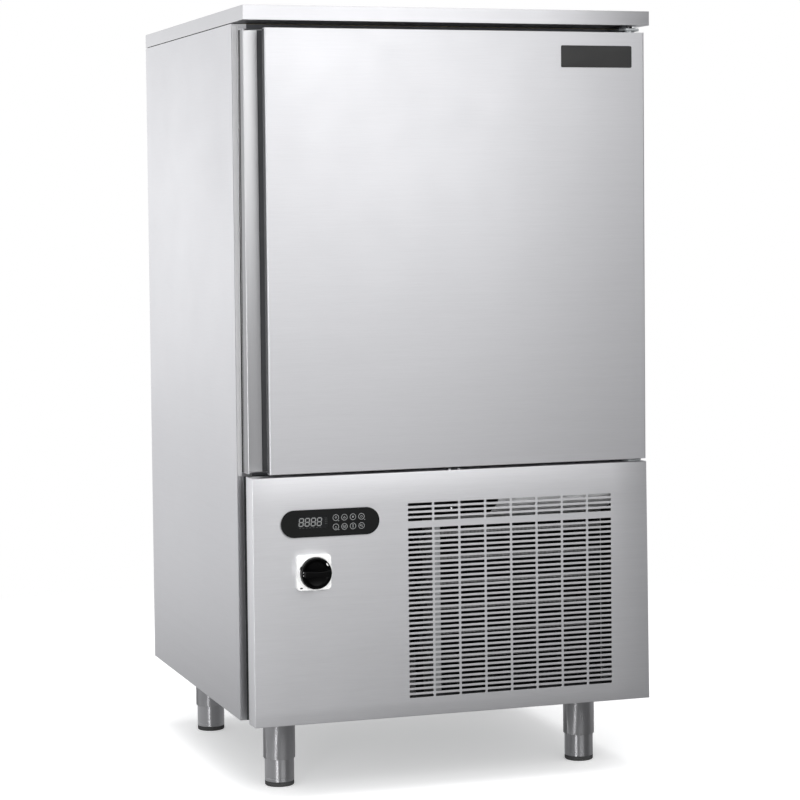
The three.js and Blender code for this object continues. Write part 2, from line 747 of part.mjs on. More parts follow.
// One press key: a round cap with a small chamfer on a stem that ends short of the circuit box.
function keys() {
  const radius = keyDiameter / 2;
  const length = keyProud + fasciaThickness + seat;
  const cap = turnedBack([[0, 0], [radius - 0.5, 0], [radius, 0.5], [radius, length], [0, length]],
    0, fasciaFront - keyProud, 0, keySides);
  keyPlaces.forEach(([x, z], index) => add(`key_${index + 1}`, cap, blackPlastic, [x, 0, z]));
}

// Closed electronics box behind the fascia, with a shallow pocket that the keys press into.
function controlBox() {
  const front = panelFront + sheet + seat;
  const halfX = controlBoxWidth / 2;
  const halfZ = controlBoxHeight / 2;
  const box = block([fasciaX - halfX, fasciaX + halfX], [front, front + controlBoxDepth],
    [fasciaZ - halfZ, fasciaZ + halfZ]);
  const pocket = block([fasciaX - windowHalfWidth, fasciaX + windowHalfWidth],
    [front - 1, front + keyStroke + 2], [fasciaZ - windowHalfHeight, fasciaZ + windowHalfHeight]);
  const back = front + controlBoxDepth;
  const knockout = rodBack(knockoutDiameter / 2, [back - knockoutDepth, back + 1], fasciaX, fasciaZ, 12);
  add('control_box', cut(box, pocket, knockout), darkPlastic);
}

function switchPlate() {
  const shape = roundedRectangle(switchPlateSize, switchPlateSize, switchPlateRadius, switchX, switchZ);
  const base = plate(shape, plateFront, panelFront - seat, 3);
  const radius = knobDiameter / 2 + knobClearance;
  const ringFront = plateFront - switchRingProud;
  const collar = rodBack(radius + switchRing, [ringFront, plateFront + 1], switchX, switchZ, 24);
  const dish = rodBack(radius, [ringFront - 1, plateFront + switchDish], switchX, switchZ, 24);
  const bore = rodBack(shaftDiameter / 2 + knobClearance, [ringFront - 1, panelFront], switchX, switchZ, 12);
  add('switch_plate', cut(join(base, collar), dish, bore), whitePlastic);
}

// Rotary knob: a round dish with a raised grip bar across it, on its own shaft.
function switchKnob() {
  const radius = knobDiameter / 2;
  const back = plateFront + switchDish - seat;
  const front = plateFront - knobDish;
  const depth = back - front;
  const rim = turnedBack([[0, knobFloor], [radius - 6, knobFloor], [radius - 3, 0], [radius - 1, 0],
    [radius, 1.5], [radius, depth], [0, depth]], switchX, front, switchZ, 24);
  const bar = roundedRectangle(2 * radius - 7, knobGripWidth, knobGripWidth / 3, switchX, switchZ);
  const grip = plate(bar, knobFront, front + knobFloor + 1, 2);
  const waist = [-1, 1].map((hand) =>
    rodBack(waistRadius, [knobFront - 1, front + knobFloor - 0.1], switchX, switchZ + hand * waistOffset, 32));
  const shaft = rodBack(shaftDiameter / 2, [back - 1, panelFront + sheet + shaftReach], switchX, switchZ, 12);
  add('switch_knob', join(rim, cut(grip, ...waist), shaft), blackPlastic);
}

// Isolator behind the panel, bored for the knob's shaft, with ribs between its terminals.
function switchBody() {
  const front = panelFront + sheet + seat;
  const half = switchBodySize / 2;
  const body = block([switchX - half, switchX + half], [front, front + switchBodyDepth],
    [switchZ - half, switchZ + half]);
  const bore = rodBack(shaftDiameter / 2 + knobClearance, [front - 1, front + shaftReach + 2], switchX, switchZ, 12);
  const terminals = [];
  for (let k = -1; k <= 1; k += 1) {
    for (const hand of [-1, 1]) {
      const x = switchX + k * terminalPitch;
      const z = switchZ + hand * half;
      terminals.push(block([x - terminalWidth / 2, x + terminalWidth / 2],
        [front + shaftReach + terminalDepth, front + switchBodyDepth + 1], [z - terminalDepth, z + terminalDepth]));
    }
  }
  add('switch_body', cut(body, bore, ...terminals), darkPlastic);
}

// ---- Legs ----------------------------------------------------------------------------------------
function legs() {
  const sleeve = sleeveDiameter / 2;
  const bore = adjusterDiameter / 2 + seat;
  const tube = turned([[bore, sleeveBottom], [sleeve - 0.6, sleeveBottom], [sleeve, sleeveBottom + 0.6],
    [sleeve, bodyBottom - seat], [0, bodyBottom - seat], [0, sleeveBore], [bore, sleeveBore],
    [bore, sleeveBottom]], 0, 0, 0, legSides);
  const stem = adjusterDiameter / 2;
  const adjuster = turned([[0, padHeight + seat], [stem, padHeight + seat], [stem, adjusterTop - 1],
    [stem - 1, adjusterTop], [0, adjusterTop]], 0, 0, 0, legSides);
  const pad = turned([[0, 0], [stem - padRound, 0], [stem - 0.6, padRound * 0.5], [stem, padRound + 1],
    [stem, padHeight], [0, padHeight]], 0, 0, 0, legSides);
  const corners = {
    front_left: [-legX, legFrontY], front_right: [legX, legFrontY],
    rear_left: [-legX, legRearY], rear_right: [legX, legRearY],
  };
  for (const [name, [x, y]] of Object.entries(corners)) {
    add(`leg_sleeve_${name}`, tube, stainless, [x, y, 0]);
    add(`leg_adjuster_${name}`, adjuster, stainless, [x, y, 0]);
    add(`leg_pad_${name}`, pad, rubber, [x, y, 0]);
  }
}

// ---- Chamber fittings ----------------------------------------------------------------------------
// Rack side: a pressed sheet with a ledge and a stop lip for each tray level, on two uprights.
function rackSide(name, hand) {
  const front = foamFront + rackSetback;
  const back = front + rackDepth;
  const z = [linerFloor + seat, linerCeiling - seat];
  const wall = linerHalf - seat;
  const web = wall - uprightDepth;
  const stand = [front, back - uprightWidth].map((y) =>
    block([wall - uprightDepth, wall], [y, y + uprightWidth], z));
  const trayLevels = Math.floor((z[1] - z[0] - 2 * rackMargin) / trayPitch) + 1;
  const first = (z[0] + z[1] - (trayLevels - 1) * trayPitch - slideSheet) / 2;
  const profile = [[web, z[1]], [web, z[0]], [web - slideSheet, z[0]]];
  for (let level = 0; level < trayLevels; level += 1) {
    const low = first + level * trayPitch;
    profile.push([web - slideSheet, low], [web - slideWidth, low], [web - slideWidth, low + slideSheet],
      [web - slideSheet, low + slideSheet]);
  }
  profile.push([web - slideSheet, z[1]]);
  const comb = plate(outline(profile), front, back);
  const body = join(comb, ...stand);
  add(name, hand > 0 ? body : body.mirror([1, 0, 0]), brightStainless);
}

// Air duct in front of the evaporator: a sheet with two fan openings and sides bent back to the wall.
function fanDeflector() {
  const half = ductWidth / 2;
  const z = [linerFloor + seat, linerCeiling - seat];
  const y = [ductFront, linerBack - seat];
  const wrap = block([-half, half], y, z);
  const hollow = block([-half + sheet, half - sheet], [ductFront + sheet, y[1] + 1], [z[0] - 1, z[1] + 1]);
  const holes = [fanLowerZ, fanUpperZ].map((centre) =>
    rodBack(fanHole / 2, [ductFront - 1, ductFront + 2 * sheet], 0, centre, 28));
  add('fan_deflector', cut(wrap, hollow, ...holes), stainless);
}

function evaporatorCoil() {
  const half = ductWidth / 2 - sheet - seat;
  const y = [ductFront + fanDepth + coilClearance, linerBack - seat - coilEnd];
  const z = [linerFloor + coilMargin, linerCeiling - coilMargin];
  const coil = block([-half, half], y, z);
  const gaps = [];
  const pitch = (2 * half - 2 * coilEnd) / coilFins;
  for (let fin = 0; fin < coilFins; fin += 1) {
    const x = -half + coilEnd + (fin + 0.5) * pitch;
    gaps.push(block([x - pitch / 3, x + pitch / 3], [y[0] - 1, y[0] + coilFinDepth], [z[0] - 1, z[1] + 1]));
  }
  add('evaporator_coil', cut(coil, wasm.Manifold.union(gaps)), aluminium);
}

// One twisted blade, lofted from the hub to the tip as a closed strip of six-sided sections.
function fanBlade(hub, tip, depth, chord) {
  const stations = 2;
  const rings = [];
  for (let s = 0; s <= stations; s += 1) {
    const radius = hub + ((tip - hub) * s) / stations;
    const pitchAngle = THREE.MathUtils.degToRad(52 - 24 * (s / stations));
    const halfChord = (chord / 2) * (1 + 0.5 * (s / stations));
    const section = [[-1, 0], [-0.4, 1], [0.5, 0.9], [1, 0], [0.5, -0.5], [-0.4, -0.5]];
    rings.push(section.map(([u, v]) => {
      const limit = (depth / 2 - 2) / Math.sin(pitchAngle);
      const along = THREE.MathUtils.clamp(halfChord * u, -limit, limit);
      const thick = 1.3 * v;
      const around = (along * Math.cos(pitchAngle) - thick * Math.sin(pitchAngle)) / radius;
      const back = along * Math.sin(pitchAngle) + thick * Math.cos(pitchAngle);
      return new THREE.Vector3(radius * Math.sin(around), back, radius * Math.cos(around));
    }));
  }
  const points = [];
  const count = rings[0].length;
  for (let s = 0; s < stations; s += 1) {
    for (let i = 0; i < count; i += 1) {
      const j = (i + 1) % count;
      points.push(rings[s][i], rings[s + 1][i], rings[s][j], rings[s][j], rings[s + 1][i], rings[s + 1][j]);
    }
  }
  for (let i = 1; i < count - 1; i += 1) {
    points.push(rings[0][0], rings[0][i], rings[0][i + 1]);
    points.push(rings[stations][0], rings[stations][i + 1], rings[stations][i]);
  }
  return solid(new THREE.BufferGeometry().setFromPoints(points));
}

// Axial impeller about a line along Y: a cup over the motor and equal blades round it.
function impeller(diameter, hubDiameter, depth, blades) {
  const hub = hubDiameter / 2;
  const cup = turnedBack([[0, 0], [hub - 4, 0], [hub, 4], [hub, depth], [0, depth]], 0, -depth / 2, 0, 16);
  const blade = fanBlade(hub - 2, diameter / 2, depth, diameter * 0.28);
  const ring = [];
  for (let k = 0; k < blades; k += 1) ring.push(blade.rotate([0, (360 / blades) * k, 0]));
  return join(cup, ...ring);
}

// Wire guard with the fan's fixed motor at its hub, standing in front of the duct.
function fanGuard(centreZ) {
  const y = ductFront - seat - guardStandoff;
  const wire = guardWire / 2;
  const rings = [guardInnerRing, guardDiameter].map((diameter) =>
    solid(new THREE.TorusGeometry(diameter / 2, wire, 3, 16).rotateX(Math.PI / 2)));
  const spokes = [0, 90, 180, 270].map((angle) => {
    const turn = (body) => body.rotate([0, angle + 45, 0]);
    const reach = guardDiameter / 2;
    const bar = block([20, reach], [wire - 1, wire + 2], [-wire, wire]);
    const foot = block([reach - 3, reach + 3], [-wire, guardStandoff], [-3, 3]);
    return turn(join(bar, foot));
  });
  const hub = fanHub / 2 - 3;
  const motor = turnedBack([[0, -wire], [hub - 3, -wire], [hub, wire], [hub, fanMotorDepth], [0, fanMotorDepth]],
    0, 0, 0, 16);
  return [join(motor, ...rings, ...spokes), [0, y, centreZ]];
}

function evaporatorFans() {
  const wheel = impeller(fanDiameter, fanHub, fanDepth, fanBlades);
  for (const [name, z] of [['lower', fanLowerZ], ['upper', fanUpperZ]]) {
    const [guard, place] = fanGuard(z);
    add(`fan_guard_${name}`, guard, brightStainless, place);
    const wheelY = place[1] + fanMotorDepth + seat + fanDepth / 2;
    add(`evaporator_fan_${name}`, wheel, blackPlastic, [0, wheelY, z]);
  }
}

// ---- Condensing unit -----------------------------------------------------------------------------
// Finned coil between two side plates, with return bends on its left.
function condenserCoil() {
  const [x0, x1] = [condenserX - condenserWidth / 2, condenserX + condenserWidth / 2];
  const y = [condenserSetback, condenserSetback + condenserDepth];
  const z = [condenserZ, condenserZ + condenserHeight];
  const core = block([x0, x1], y, z);
  const gaps = [];
  const pitch = (condenserWidth - 2 * endPlate - finGap) / condenserFins;
  for (let fin = 0; fin < condenserFins; fin += 1) {
    const x = x0 + endPlate + finGap + fin * pitch;
    gaps.push(block([x, x + finGap * 2], [y[0] - 1, y[0] + finDepth], [z[0] + finMargin, z[1] - finMargin]));
  }
  const bends = [];
  const straight = x0 - tubeDiameter / 2;
  for (let k = 0; k < returnBends; k += 1) {
    const low = z[0] + (k + 0.5) * (condenserHeight / returnBends) - returnRadius;
    const arc = new THREE.CatmullRomCurve3([
      new THREE.Vector3(x0 + 1, 0, 0), new THREE.Vector3(straight, 0, 0),
      new THREE.Vector3(straight - returnRadius * 0.7, 0, returnRadius),
      new THREE.Vector3(straight, 0, 2 * returnRadius), new THREE.Vector3(x0 + 1, 0, 2 * returnRadius),
    ]);
    const round = new THREE.Shape().absarc(0, 0, tubeDiameter / 2, 0, Math.PI * 2);
    const tube = new THREE.ExtrudeGeometry(round, { steps: 5, curveSegments: 3, extrudePath: arc });
    bends.push(solid(tube.translate(0, (y[0] + y[1]) / 2, low)));
  }
  add('condenser_coil', join(cut(core, wasm.Manifold.union(gaps)), ...bends), aluminium);
}

// Sheet box behind the coil with the fan's ring.
function condenserShroud() {
  const [x0, x1] = [condenserX - condenserWidth / 2, condenserX + condenserWidth / 2];
  const y = [shroudFront, shroudFront + shroudDepth];
  const z = [condenserZ, condenserZ + condenserHeight];
  const outer = block([x0, x1], y, z);
  const hollow = block([x0 + sheet, x1 - sheet], [y[0] - 1, y[1] - sheet], [z[0] + sheet, z[1] - sheet]);
  const radius = condenserFanDiameter / 2 + fanRingClearance;
  const ringBack = y[1] + fanRingDepth;
  const ring = rodBack(radius + fanRingWall, [y[1] - sheet, ringBack], condenserX, condenserFanZ, 32);
  const hole = rodBack(radius, [y[0] - 1, ringBack + 1], condenserX, condenserFanZ, 32);
  add('condenser_shroud', cut(join(cut(outer, hollow), ring), hole), galvanised);
}

function condenserFan() {
  const wheel = impeller(condenserFanDiameter, condenserFanHub, condenserFanDepth, fanBlades);
  const centreY = shroudFront + shroudDepth;
  add('condenser_fan', wheel, blackPlastic, [condenserX, centreY, condenserFanZ]);
  const face = centreY + condenserFanDepth / 2 + seat;
  const radius = motorDiameter / 2;
  const motor = turnedBack([[0, 0], [radius - 12, 0], [radius, 8], [radius, motorDepth - 8],
    [radius - 6, motorDepth], [0, motorDepth]], 0, 0, 0, 20);
  const feet = shroudFront + shroudDepth + seat - face;
  const reach = condenserFanDiameter / 2 + motorArmReach;
  const back = [motorArmReach - motorArmSheet, motorArmReach];
  const arms = [-1, 1].map((hand) => {
    const z = [hand * motorArmSpread - motorArm / 2, hand * motorArmSpread + motorArm / 2];
    return join(block([-reach, reach], back, z), block([-reach, -reach + motorArmSheet], [feet, back[1]], z),
      block([reach - motorArmSheet, reach], [feet, back[1]], z));
  });
  add('condenser_motor', join(motor, ...arms), blackSteel, [condenserX, face, condenserFanZ]);
}

// Hermetic compressor: a domed shell on a foot plate, with its terminal box and two pipe stubs.
function compressor() {
  const radius = compressorDiameter / 2;
  const seam = compressorHeight * 0.55;
  const grommet = compressorBase / 3;
  const low = grommet + 2;
  const profile = [[0, low]];
  for (let k = 0; k <= 2; k += 1) {
    const angle = (Math.PI / 4) * k;
    profile.push([radius - compressorBase * (1 - Math.sin(angle)), low + compressorBase * (1 - Math.cos(angle))]);
  }
  profile.push([radius, seam], [radius + compressorSeam, seam], [radius + compressorSeam, seam + compressorSeam],
    [radius, seam + compressorSeam]);
  for (let k = 0; k < 3; k += 1) {
    const angle = (Math.PI / 6) * k;
    profile.push([radius * Math.cos(angle),
      compressorHeight - compressorDome * (1 - Math.sin(angle))]);
  }
  profile.push([0, compressorHeight]);
  const dome = turned(profile, 0, 0, 0, 14);
  const footReach = radius + grommet * 1.4;
  const foot = block([-footReach, footReach], [-radius + grommet, radius - grommet],
    [grommet, grommet + compressorFoot]);
  const grommets = [[-1, -1], [1, -1], [-1, 1], [1, 1]].map(([u, v]) =>
    rod(grommet, [0, grommet + compressorFoot + 2], u * radius, v * (radius - 2 * grommet), 8));
  const boxLow = seam - terminalBoxHeight / 2;
  const terminals = block([-terminalBoxWidth / 2, terminalBoxWidth / 2],
    [-radius - terminalBoxDepth, -radius + terminalBoxDepth], [boxLow, boxLow + terminalBoxHeight]);
  const stubs = [-1, 1].map((hand) => rodBack(stubDiameter / 2, [-radius - terminalBoxDepth / 2, 0],
    hand * (terminalBoxWidth / 2 + stubDiameter), seam + compressorDome * 0.7, 8));
  add('compressor', join(dome, foot, terminals, ...grommets, ...stubs), blackSteel,
    [compressorX, compressorY, panZ + seat]);
}

// Liquid receiver: a domed tank on its foot, with a shut-off valve on top.
function liquidReceiver() {
  const radius = receiverDiameter / 2;
  const low = receiverFoot - 4;
  const profile = [[0, low], [radius * 0.6, low], [radius * 0.9, low + 6], [radius, low + 20],
    [radius, receiverHeight - 20], [radius * 0.9, receiverHeight - 6], [radius * 0.6, receiverHeight],
    [0, receiverHeight]];
  const tank = turned(profile, 0, 0, 0, 14);
  const foot = block([-radius, radius], [-radius, radius], [0, receiverFoot]);
  const half = valveDiameter / 2;
  const valve = rod(half, [receiverHeight - 4, receiverHeight + valveHeight], valveDiameter, 0, 8);
  const spur = block([-valveDiameter, radius - 5], [-half, half],
    [receiverHeight + half, receiverHeight + half + valveDiameter]);
  add('liquid_receiver', join(tank, foot, valve, spur), blackSteel, [receiverX, receiverY, panZ + seat]);
}

// Cable gland through the base pan: body, hexagon and lock nut, bored for the supply cord.
function cableGland() {
  const bore = glandBore / 2;
  const thread = glandThread / 2;
  const nut = glandNut / 2;
  const inside = sheet + seat;
  const body = turned([[bore, -14], [thread - 2, -14], [thread + 1, -9], [thread + 1, -4], [nut, -4], [nut, -seat],
    [thread, -seat], [thread, inside], [nut, inside], [nut, inside + 5], [thread, inside + 5],
    [thread, inside + 8], [bore, inside + 8], [bore, -14]], 0, 0, 0, 12);
  add('cable_gland', body, blackPlastic, [glandX, glandY, bodyBottom]);
}

topCover();
sidePanel('side_panel_left', -1);
sidePanel('side_panel_right', 1);
backPanel();
rearGrille();
basePan();
chamberInsulation();
chamberLiner();
frontFrame();
doorSkin();
doorHandle();
fingerRecess();
doorFoam();
doorPan();
doorGasket();
hingeBracket('hinge_bracket_top', doorTop + hingePlate, hingePlate, -1);
hingeBracket('hinge_bracket_bottom', doorBottom - lowerHingePlate - lowerHingeGap, lowerHingePlate, 1);
frontPanel();
panelCarrier();
controlFascia();
displayWindow();
keys();
controlBox();
switchPlate();
switchKnob();
switchBody();
legs();
rackSide('rack_left', -1);
rackSide('rack_right', 1);
fanDeflector();
evaporatorCoil();
evaporatorFans();
condenserCoil();
condenserShroud();
condenserFan();
compressor();
liquidReceiver();
cableGland();

export default model;
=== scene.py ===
"""Upright blast chiller in brushed stainless steel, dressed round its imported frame.

Lengths are metres in the frame's axes: X to the right, Y into the cabinet, Z up from the floor.
Sizes of this file's own pieces are written in millimetres and multiplied by MM.
"""

import enum
import functools
import logging
import math
from dataclasses import dataclass, field
from typing import Callable, Sequence

import bmesh
import bpy
import numpy as np
from mathutils import Matrix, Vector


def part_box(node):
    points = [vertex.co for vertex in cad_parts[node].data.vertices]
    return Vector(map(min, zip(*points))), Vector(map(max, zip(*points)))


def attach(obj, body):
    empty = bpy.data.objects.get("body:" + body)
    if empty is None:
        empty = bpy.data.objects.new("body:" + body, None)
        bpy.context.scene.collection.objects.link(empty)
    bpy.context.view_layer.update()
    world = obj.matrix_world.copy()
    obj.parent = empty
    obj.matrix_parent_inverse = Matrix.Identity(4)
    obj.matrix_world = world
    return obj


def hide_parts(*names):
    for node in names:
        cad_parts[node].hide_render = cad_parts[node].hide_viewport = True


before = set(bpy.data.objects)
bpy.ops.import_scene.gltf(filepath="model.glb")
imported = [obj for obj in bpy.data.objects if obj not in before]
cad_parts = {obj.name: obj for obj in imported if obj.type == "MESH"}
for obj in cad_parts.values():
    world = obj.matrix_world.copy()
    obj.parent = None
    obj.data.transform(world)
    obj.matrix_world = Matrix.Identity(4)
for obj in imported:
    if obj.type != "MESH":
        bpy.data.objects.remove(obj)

MM = 0.001
LOG = logging.getLogger("blast_chiller")
NODES: dict[str, bpy.types.Object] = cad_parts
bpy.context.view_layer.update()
Pair = tuple[float, float]
Triple = tuple[float, float, float]
Colour = tuple[float, float, float, float]
Stroke = tuple[float, float, float, float, float]
Profile = Callable[[float, float, float], list[Pair]]
ORIGIN: Triple = (0.0, 0.0, 0.0)
SHARP_ANGLE = 35.0
WELD_DISTANCE = 2e-6
SLIVER_LENGTH = 1e-7


class Facing(enum.Enum):
    """Way in which an outline is carried: back into the cabinet, or up."""

    BACK = "back"
    UP = "up"


class Grain(enum.Enum):
    """Brushing direction: how the grain's noise is squeezed on each axis, and a vector near the strokes."""

    ALONG_X = ((1.0, 60.0, 60.0), (1.0, 0.3, 0.0))
    ALONG_Y = ((60.0, 1.0, 60.0), (0.3, 1.0, 0.0))
    ALONG_Z = ((60.0, 60.0, 1.0), (0.0, 0.2, 1.0))


# ---- Surfaces --------------------------------------------------------------------------------


@dataclass(frozen=True)
class Outline:
    """Closed line in a plane, with the outward normal at each of its points."""

    points: np.ndarray
    normals: np.ndarray

    @staticmethod
    def circle(radius: float, count: int = 48) -> "Outline":
        """Circle: P(t) = r (cos t, sin t).

        Args:
            radius: Radius of the circle.
            count: Points round it.

        Returns:
            The outline, centred on the origin.
        """
        turn = np.linspace(0.0, 2.0 * math.pi, count, endpoint=False)
        ray = np.stack([np.cos(turn), np.sin(turn)], axis=1)
        return Outline(radius * ray, ray)

    @staticmethod
    def rounded(width: float, height: float, radius: float, arc: int = 8) -> "Outline":
        """Rectangle with quarter circles at its corners: P(k, t) = C_k + r (cos t, sin t).

        Args:
            width: Extent along the first axis.
            height: Extent along the second axis.
            radius: Corner radius.
            arc: Steps in each quarter circle.

        Returns:
            The outline, centred on the origin.
        """
        turn = np.arange(4)[:, None] * math.pi / 2 + np.linspace(0.0, math.pi / 2, arc + 1)[None, :]
        ray = np.stack([np.cos(turn), np.sin(turn)], axis=-1)
        centre = np.array([[1, 1], [-1, 1], [-1, -1], [1, -1]]) * [width / 2 - radius, height / 2 - radius]
        return Outline((centre[:, None, :] + radius * ray).reshape(-1, 2), ray.reshape(-1, 2))

    @staticmethod
    def traced(points: np.ndarray) -> "Outline":
        """Any closed line: n_i is the chord P_(i+1) - P_(i-1) turned a quarter back.

        Args:
            points: Points of the line, anticlockwise.

        Returns:
            The outline.
        """
        chord = np.roll(points, -1, axis=0) - np.roll(points, 1, axis=0)
        normal = np.stack([chord[:, 1], -chord[:, 0]], axis=1)
        return Outline(points, normal / np.linalg.norm(normal, axis=1, keepdims=True))


@dataclass
class Surface:
    """Points and four-cornered faces of a mesh; a triangle has one corner twice."""

    points: np.ndarray
    faces: np.ndarray

    @staticmethod
    def grid(points: np.ndarray, wrap_u: bool = False, wrap_v: bool = False) -> "Surface":
        """Surface through a grid of points P(i, j), with faces (i, j), (i+1, j), (i+1, j+1), (i, j+1).

        Args:
            points: Array of shape (u, v, 3).
            wrap_u: Whether the last row meets the first.
            wrap_v: Whether the last column meets the first.

        Returns:
            The woven surface.
        """
        rows, columns = points.shape[:2]
        i = np.arange(rows if wrap_u else rows - 1)[:, None]
        j = np.arange(columns if wrap_v else columns - 1)[None, :]
        down, right = (i + 1) % rows, (j + 1) % columns
        faces = np.stack(
            [i * columns + j, down * columns + j, down * columns + right, i * columns + right], axis=-1
        )
        return Surface(points.reshape(-1, 3).astype(float), faces.reshape(-1, 4))

    @staticmethod
    def joined(*surfaces: "Surface") -> "Surface":
        """All the surfaces as one.

        Args:
            surfaces: The surfaces.

        Returns:
            One surface with their points and faces in order.
        """
        shift = np.cumsum([0] + [len(s.points) for s in surfaces[:-1]])
        faces = np.concatenate([s.faces + k for s, k in zip(surfaces, shift)])
        return Surface(np.concatenate([s.points for s in surfaces]), faces)

    def copied(self, points: np.ndarray) -> "Surface":
        """One copy of the faces on each set of points, from an array of shape (copies, points, 3)."""
        shift = np.arange(len(points))[:, None, None] * len(self.points)
        return Surface(points.reshape(-1, 3), (self.faces[None] + shift).reshape(-1, 4))

    def at(self, places: np.ndarray) -> "Surface":
        """One copy at each place: P + C_k."""
        return self.copied(self.points[None] + np.atleast_2d(np.asarray(places, float))[:, None])

    def turned_by(self, matrices: np.ndarray) -> "Surface":
        """One copy for each 3 by 3 matrix: M_k P."""
        return self.copied(np.einsum("kab,nb->kna", matrices, self.points))

    def object(self, name: str, smooth: float = SHARP_ANGLE, closed: bool = True) -> bpy.types.Object:
        """Blender object of this surface, with doubled points merged.

        Args:
            name: Name of the object.
            smooth: Angle in degrees above which an edge stays sharp.
            closed: Whether the faces are turned outwards afterwards.

        Returns:
            The new object, at the origin.
        """
        triangle = self.faces[:, 3] == self.faces[:, 0]
        keep = np.ones(self.faces.shape, bool)
        keep[triangle, 3] = False
        starts = np.concatenate([[0], np.cumsum(keep.sum(axis=1))[:-1]])
        mesh = bpy.data.meshes.new(name)
        mesh.vertices.add(len(self.points))
        mesh.vertices.foreach_set("co", self.points.astype(np.float32).ravel())
        mesh.loops.add(int(keep.sum()))
        mesh.loops.foreach_set("vertex_index", self.faces[keep].astype(np.int32))
        mesh.polygons.add(len(self.faces))
        mesh.polygons.foreach_set("loop_start", starts.astype(np.int32))
        mesh.update(calc_edges=True)
        made = bmesh.new()
        made.from_mesh(mesh)
        bmesh.ops.remove_doubles(made, verts=made.verts, dist=WELD_DISTANCE)
        bmesh.ops.dissolve_degenerate(made, edges=made.edges, dist=SLIVER_LENGTH)
        if closed:
            bmesh.ops.recalc_face_normals(made, faces=made.faces)
        made.to_mesh(mesh)
        made.free()
        mesh.shade_smooth()
        mesh.set_sharp_from_angle(angle=math.radians(smooth))
        piece = bpy.data.objects.new(name, mesh)
        bpy.context.scene.collection.objects.link(piece)
        return piece


def carried(flat: np.ndarray, depth: np.ndarray, at: Triple, facing: Facing) -> np.ndarray:
    """Points (u, v) at depth d put in space: at + (u, d, v) for BACK and at + (u, v, d) for UP.

    Args:
        flat: Array whose last axis holds u and v.
        depth: Depths, in a shape that spreads over the points.
        at: Place of the origin.
        facing: Way in which the depth runs.

    Returns:
        The points in space.
    """
    u, v = flat[..., 0], flat[..., 1]
    d = np.broadcast_to(depth, u.shape)
    parts = [u, d, v] if facing is Facing.BACK else [u, v, d]
    return np.stack(parts, axis=-1) + np.asarray(at, float)


def capped(rings: np.ndarray) -> np.ndarray:
    """Rings with the middles of the end rings before the first and after the last, to close both ends."""
    ends = [np.repeat(rings[k].mean(axis=0)[None, None], rings.shape[1], axis=1) for k in (0, -1)]
    return np.concatenate([ends[0], rings, ends[1]])


def stacked(outline: Outline, rings: Sequence[Pair], at: Triple, facing: Facing = Facing.BACK) -> Surface:
    """Closed body of one outline: ring j is P - inset_j n at depth_j, and both ends close on their middle.

    Args:
        outline: The closed line.
        rings: Pairs of inset and depth, in order.
        at: Place of the outline's origin.
        facing: Way in which the outline is carried.

    Returns:
        The body's surface.
    """
    inset, depth = np.asarray(rings, float).T
    flat = capped(outline.points[None] - inset[:, None, None] * outline.normals[None])
    depth = np.concatenate([depth[:1], depth, depth[-1:]])
    return Surface.grid(carried(flat, depth[:, None], at, facing), wrap_v=True)


def lathed(profile: Sequence[Pair], at: Triple, facing: Facing = Facing.UP, count: int = 64) -> Surface:
    """Turned body: P(j, t) = (r_j cos t, r_j sin t) at depth h_j.

    Args:
        profile: Pairs of radius and depth; a closed ring starts and ends at the same pair.
        at: Place of the profile's origin.
        facing: Way in which the axis points.
        count: Steps round the axis.

    Returns:
        The body's surface.
    """
    radius, depth = np.asarray(profile, float).T
    ray = Outline.circle(1.0, count).points
    return Surface.grid(carried(radius[:, None, None] * ray[None], depth[:, None], at, facing), wrap_v=True)


def swept(section: np.ndarray, path: np.ndarray, hint: Triple, wrap: bool = False) -> Surface:
    """Section carried along a path: P(i, j) = C_i + a_j N_i + b_j (T_i x N_i), with N_i square to T_i.

    Args:
        section: Closed line of (a, b) pairs.
        path: Points C_i.
        hint: Direction that N_i is taken square from.
        wrap: Whether the path is closed.

    Returns:
        The tube, with its ends closed on their middles unless it wraps.
    """
    tangent = np.roll(path, -1, 0) - np.roll(path, 1, 0) if wrap else np.gradient(path, axis=0)
    tangent = tangent / np.linalg.norm(tangent, axis=1, keepdims=True)
    side = np.cross(np.asarray(hint, float)[None], tangent)
    side = side / np.linalg.norm(side, axis=1, keepdims=True)
    rise = np.cross(tangent, side)
    rings = path[:, None] + section[None, :, :1] * side[:, None] + section[None, :, 1:] * rise[:, None]
    return Surface.grid(rings if wrap else capped(rings), wrap_u=wrap, wrap_v=True)


def brick(size: Triple, at: Triple = ORIGIN, edge: float = 0.3 * MM) -> Surface:
    """Block about a middle, its edges taken off: a rectangle inset by e at both ends of its depth.

    Args:
        size: Extents along X, Y and Z.
        at: Place of its middle.
        edge: Size e of the taken-off edges.

    Returns:
        The block's surface.
    """
    width, depth, height = size
    rings = [(edge, -depth / 2), (0.0, -depth / 2 + edge), (0.0, depth / 2 - edge), (edge, depth / 2)]
    return stacked(Outline.rounded(width, height, edge, 2), rings, at)


def quarter_edge(radius: float, depth: float, steps: int = 4) -> list[Pair]:
    """Rings round an edge: inset r (1 - sin t) at depth d + r (1 - cos t), from the face to the side."""
    turn = np.linspace(0.0, math.pi / 2, steps + 1)
    return [(radius * (1 - math.sin(t)), depth + radius * (1 - math.cos(t))) for t in turn]


def turns_about_y(degrees: Sequence[float]) -> np.ndarray:
    """Matrices of turns about the Y axis: (x cos a + z sin a, y, z cos a - x sin a)."""
    parts = [(math.cos(math.radians(a)), math.sin(math.radians(a))) for a in degrees]
    return np.array([[[cos, 0, sin], [0, 1, 0], [-sin, 0, cos]] for cos, sin in parts])


# ---- Shader nodes ----------------------------------------------------------------------------


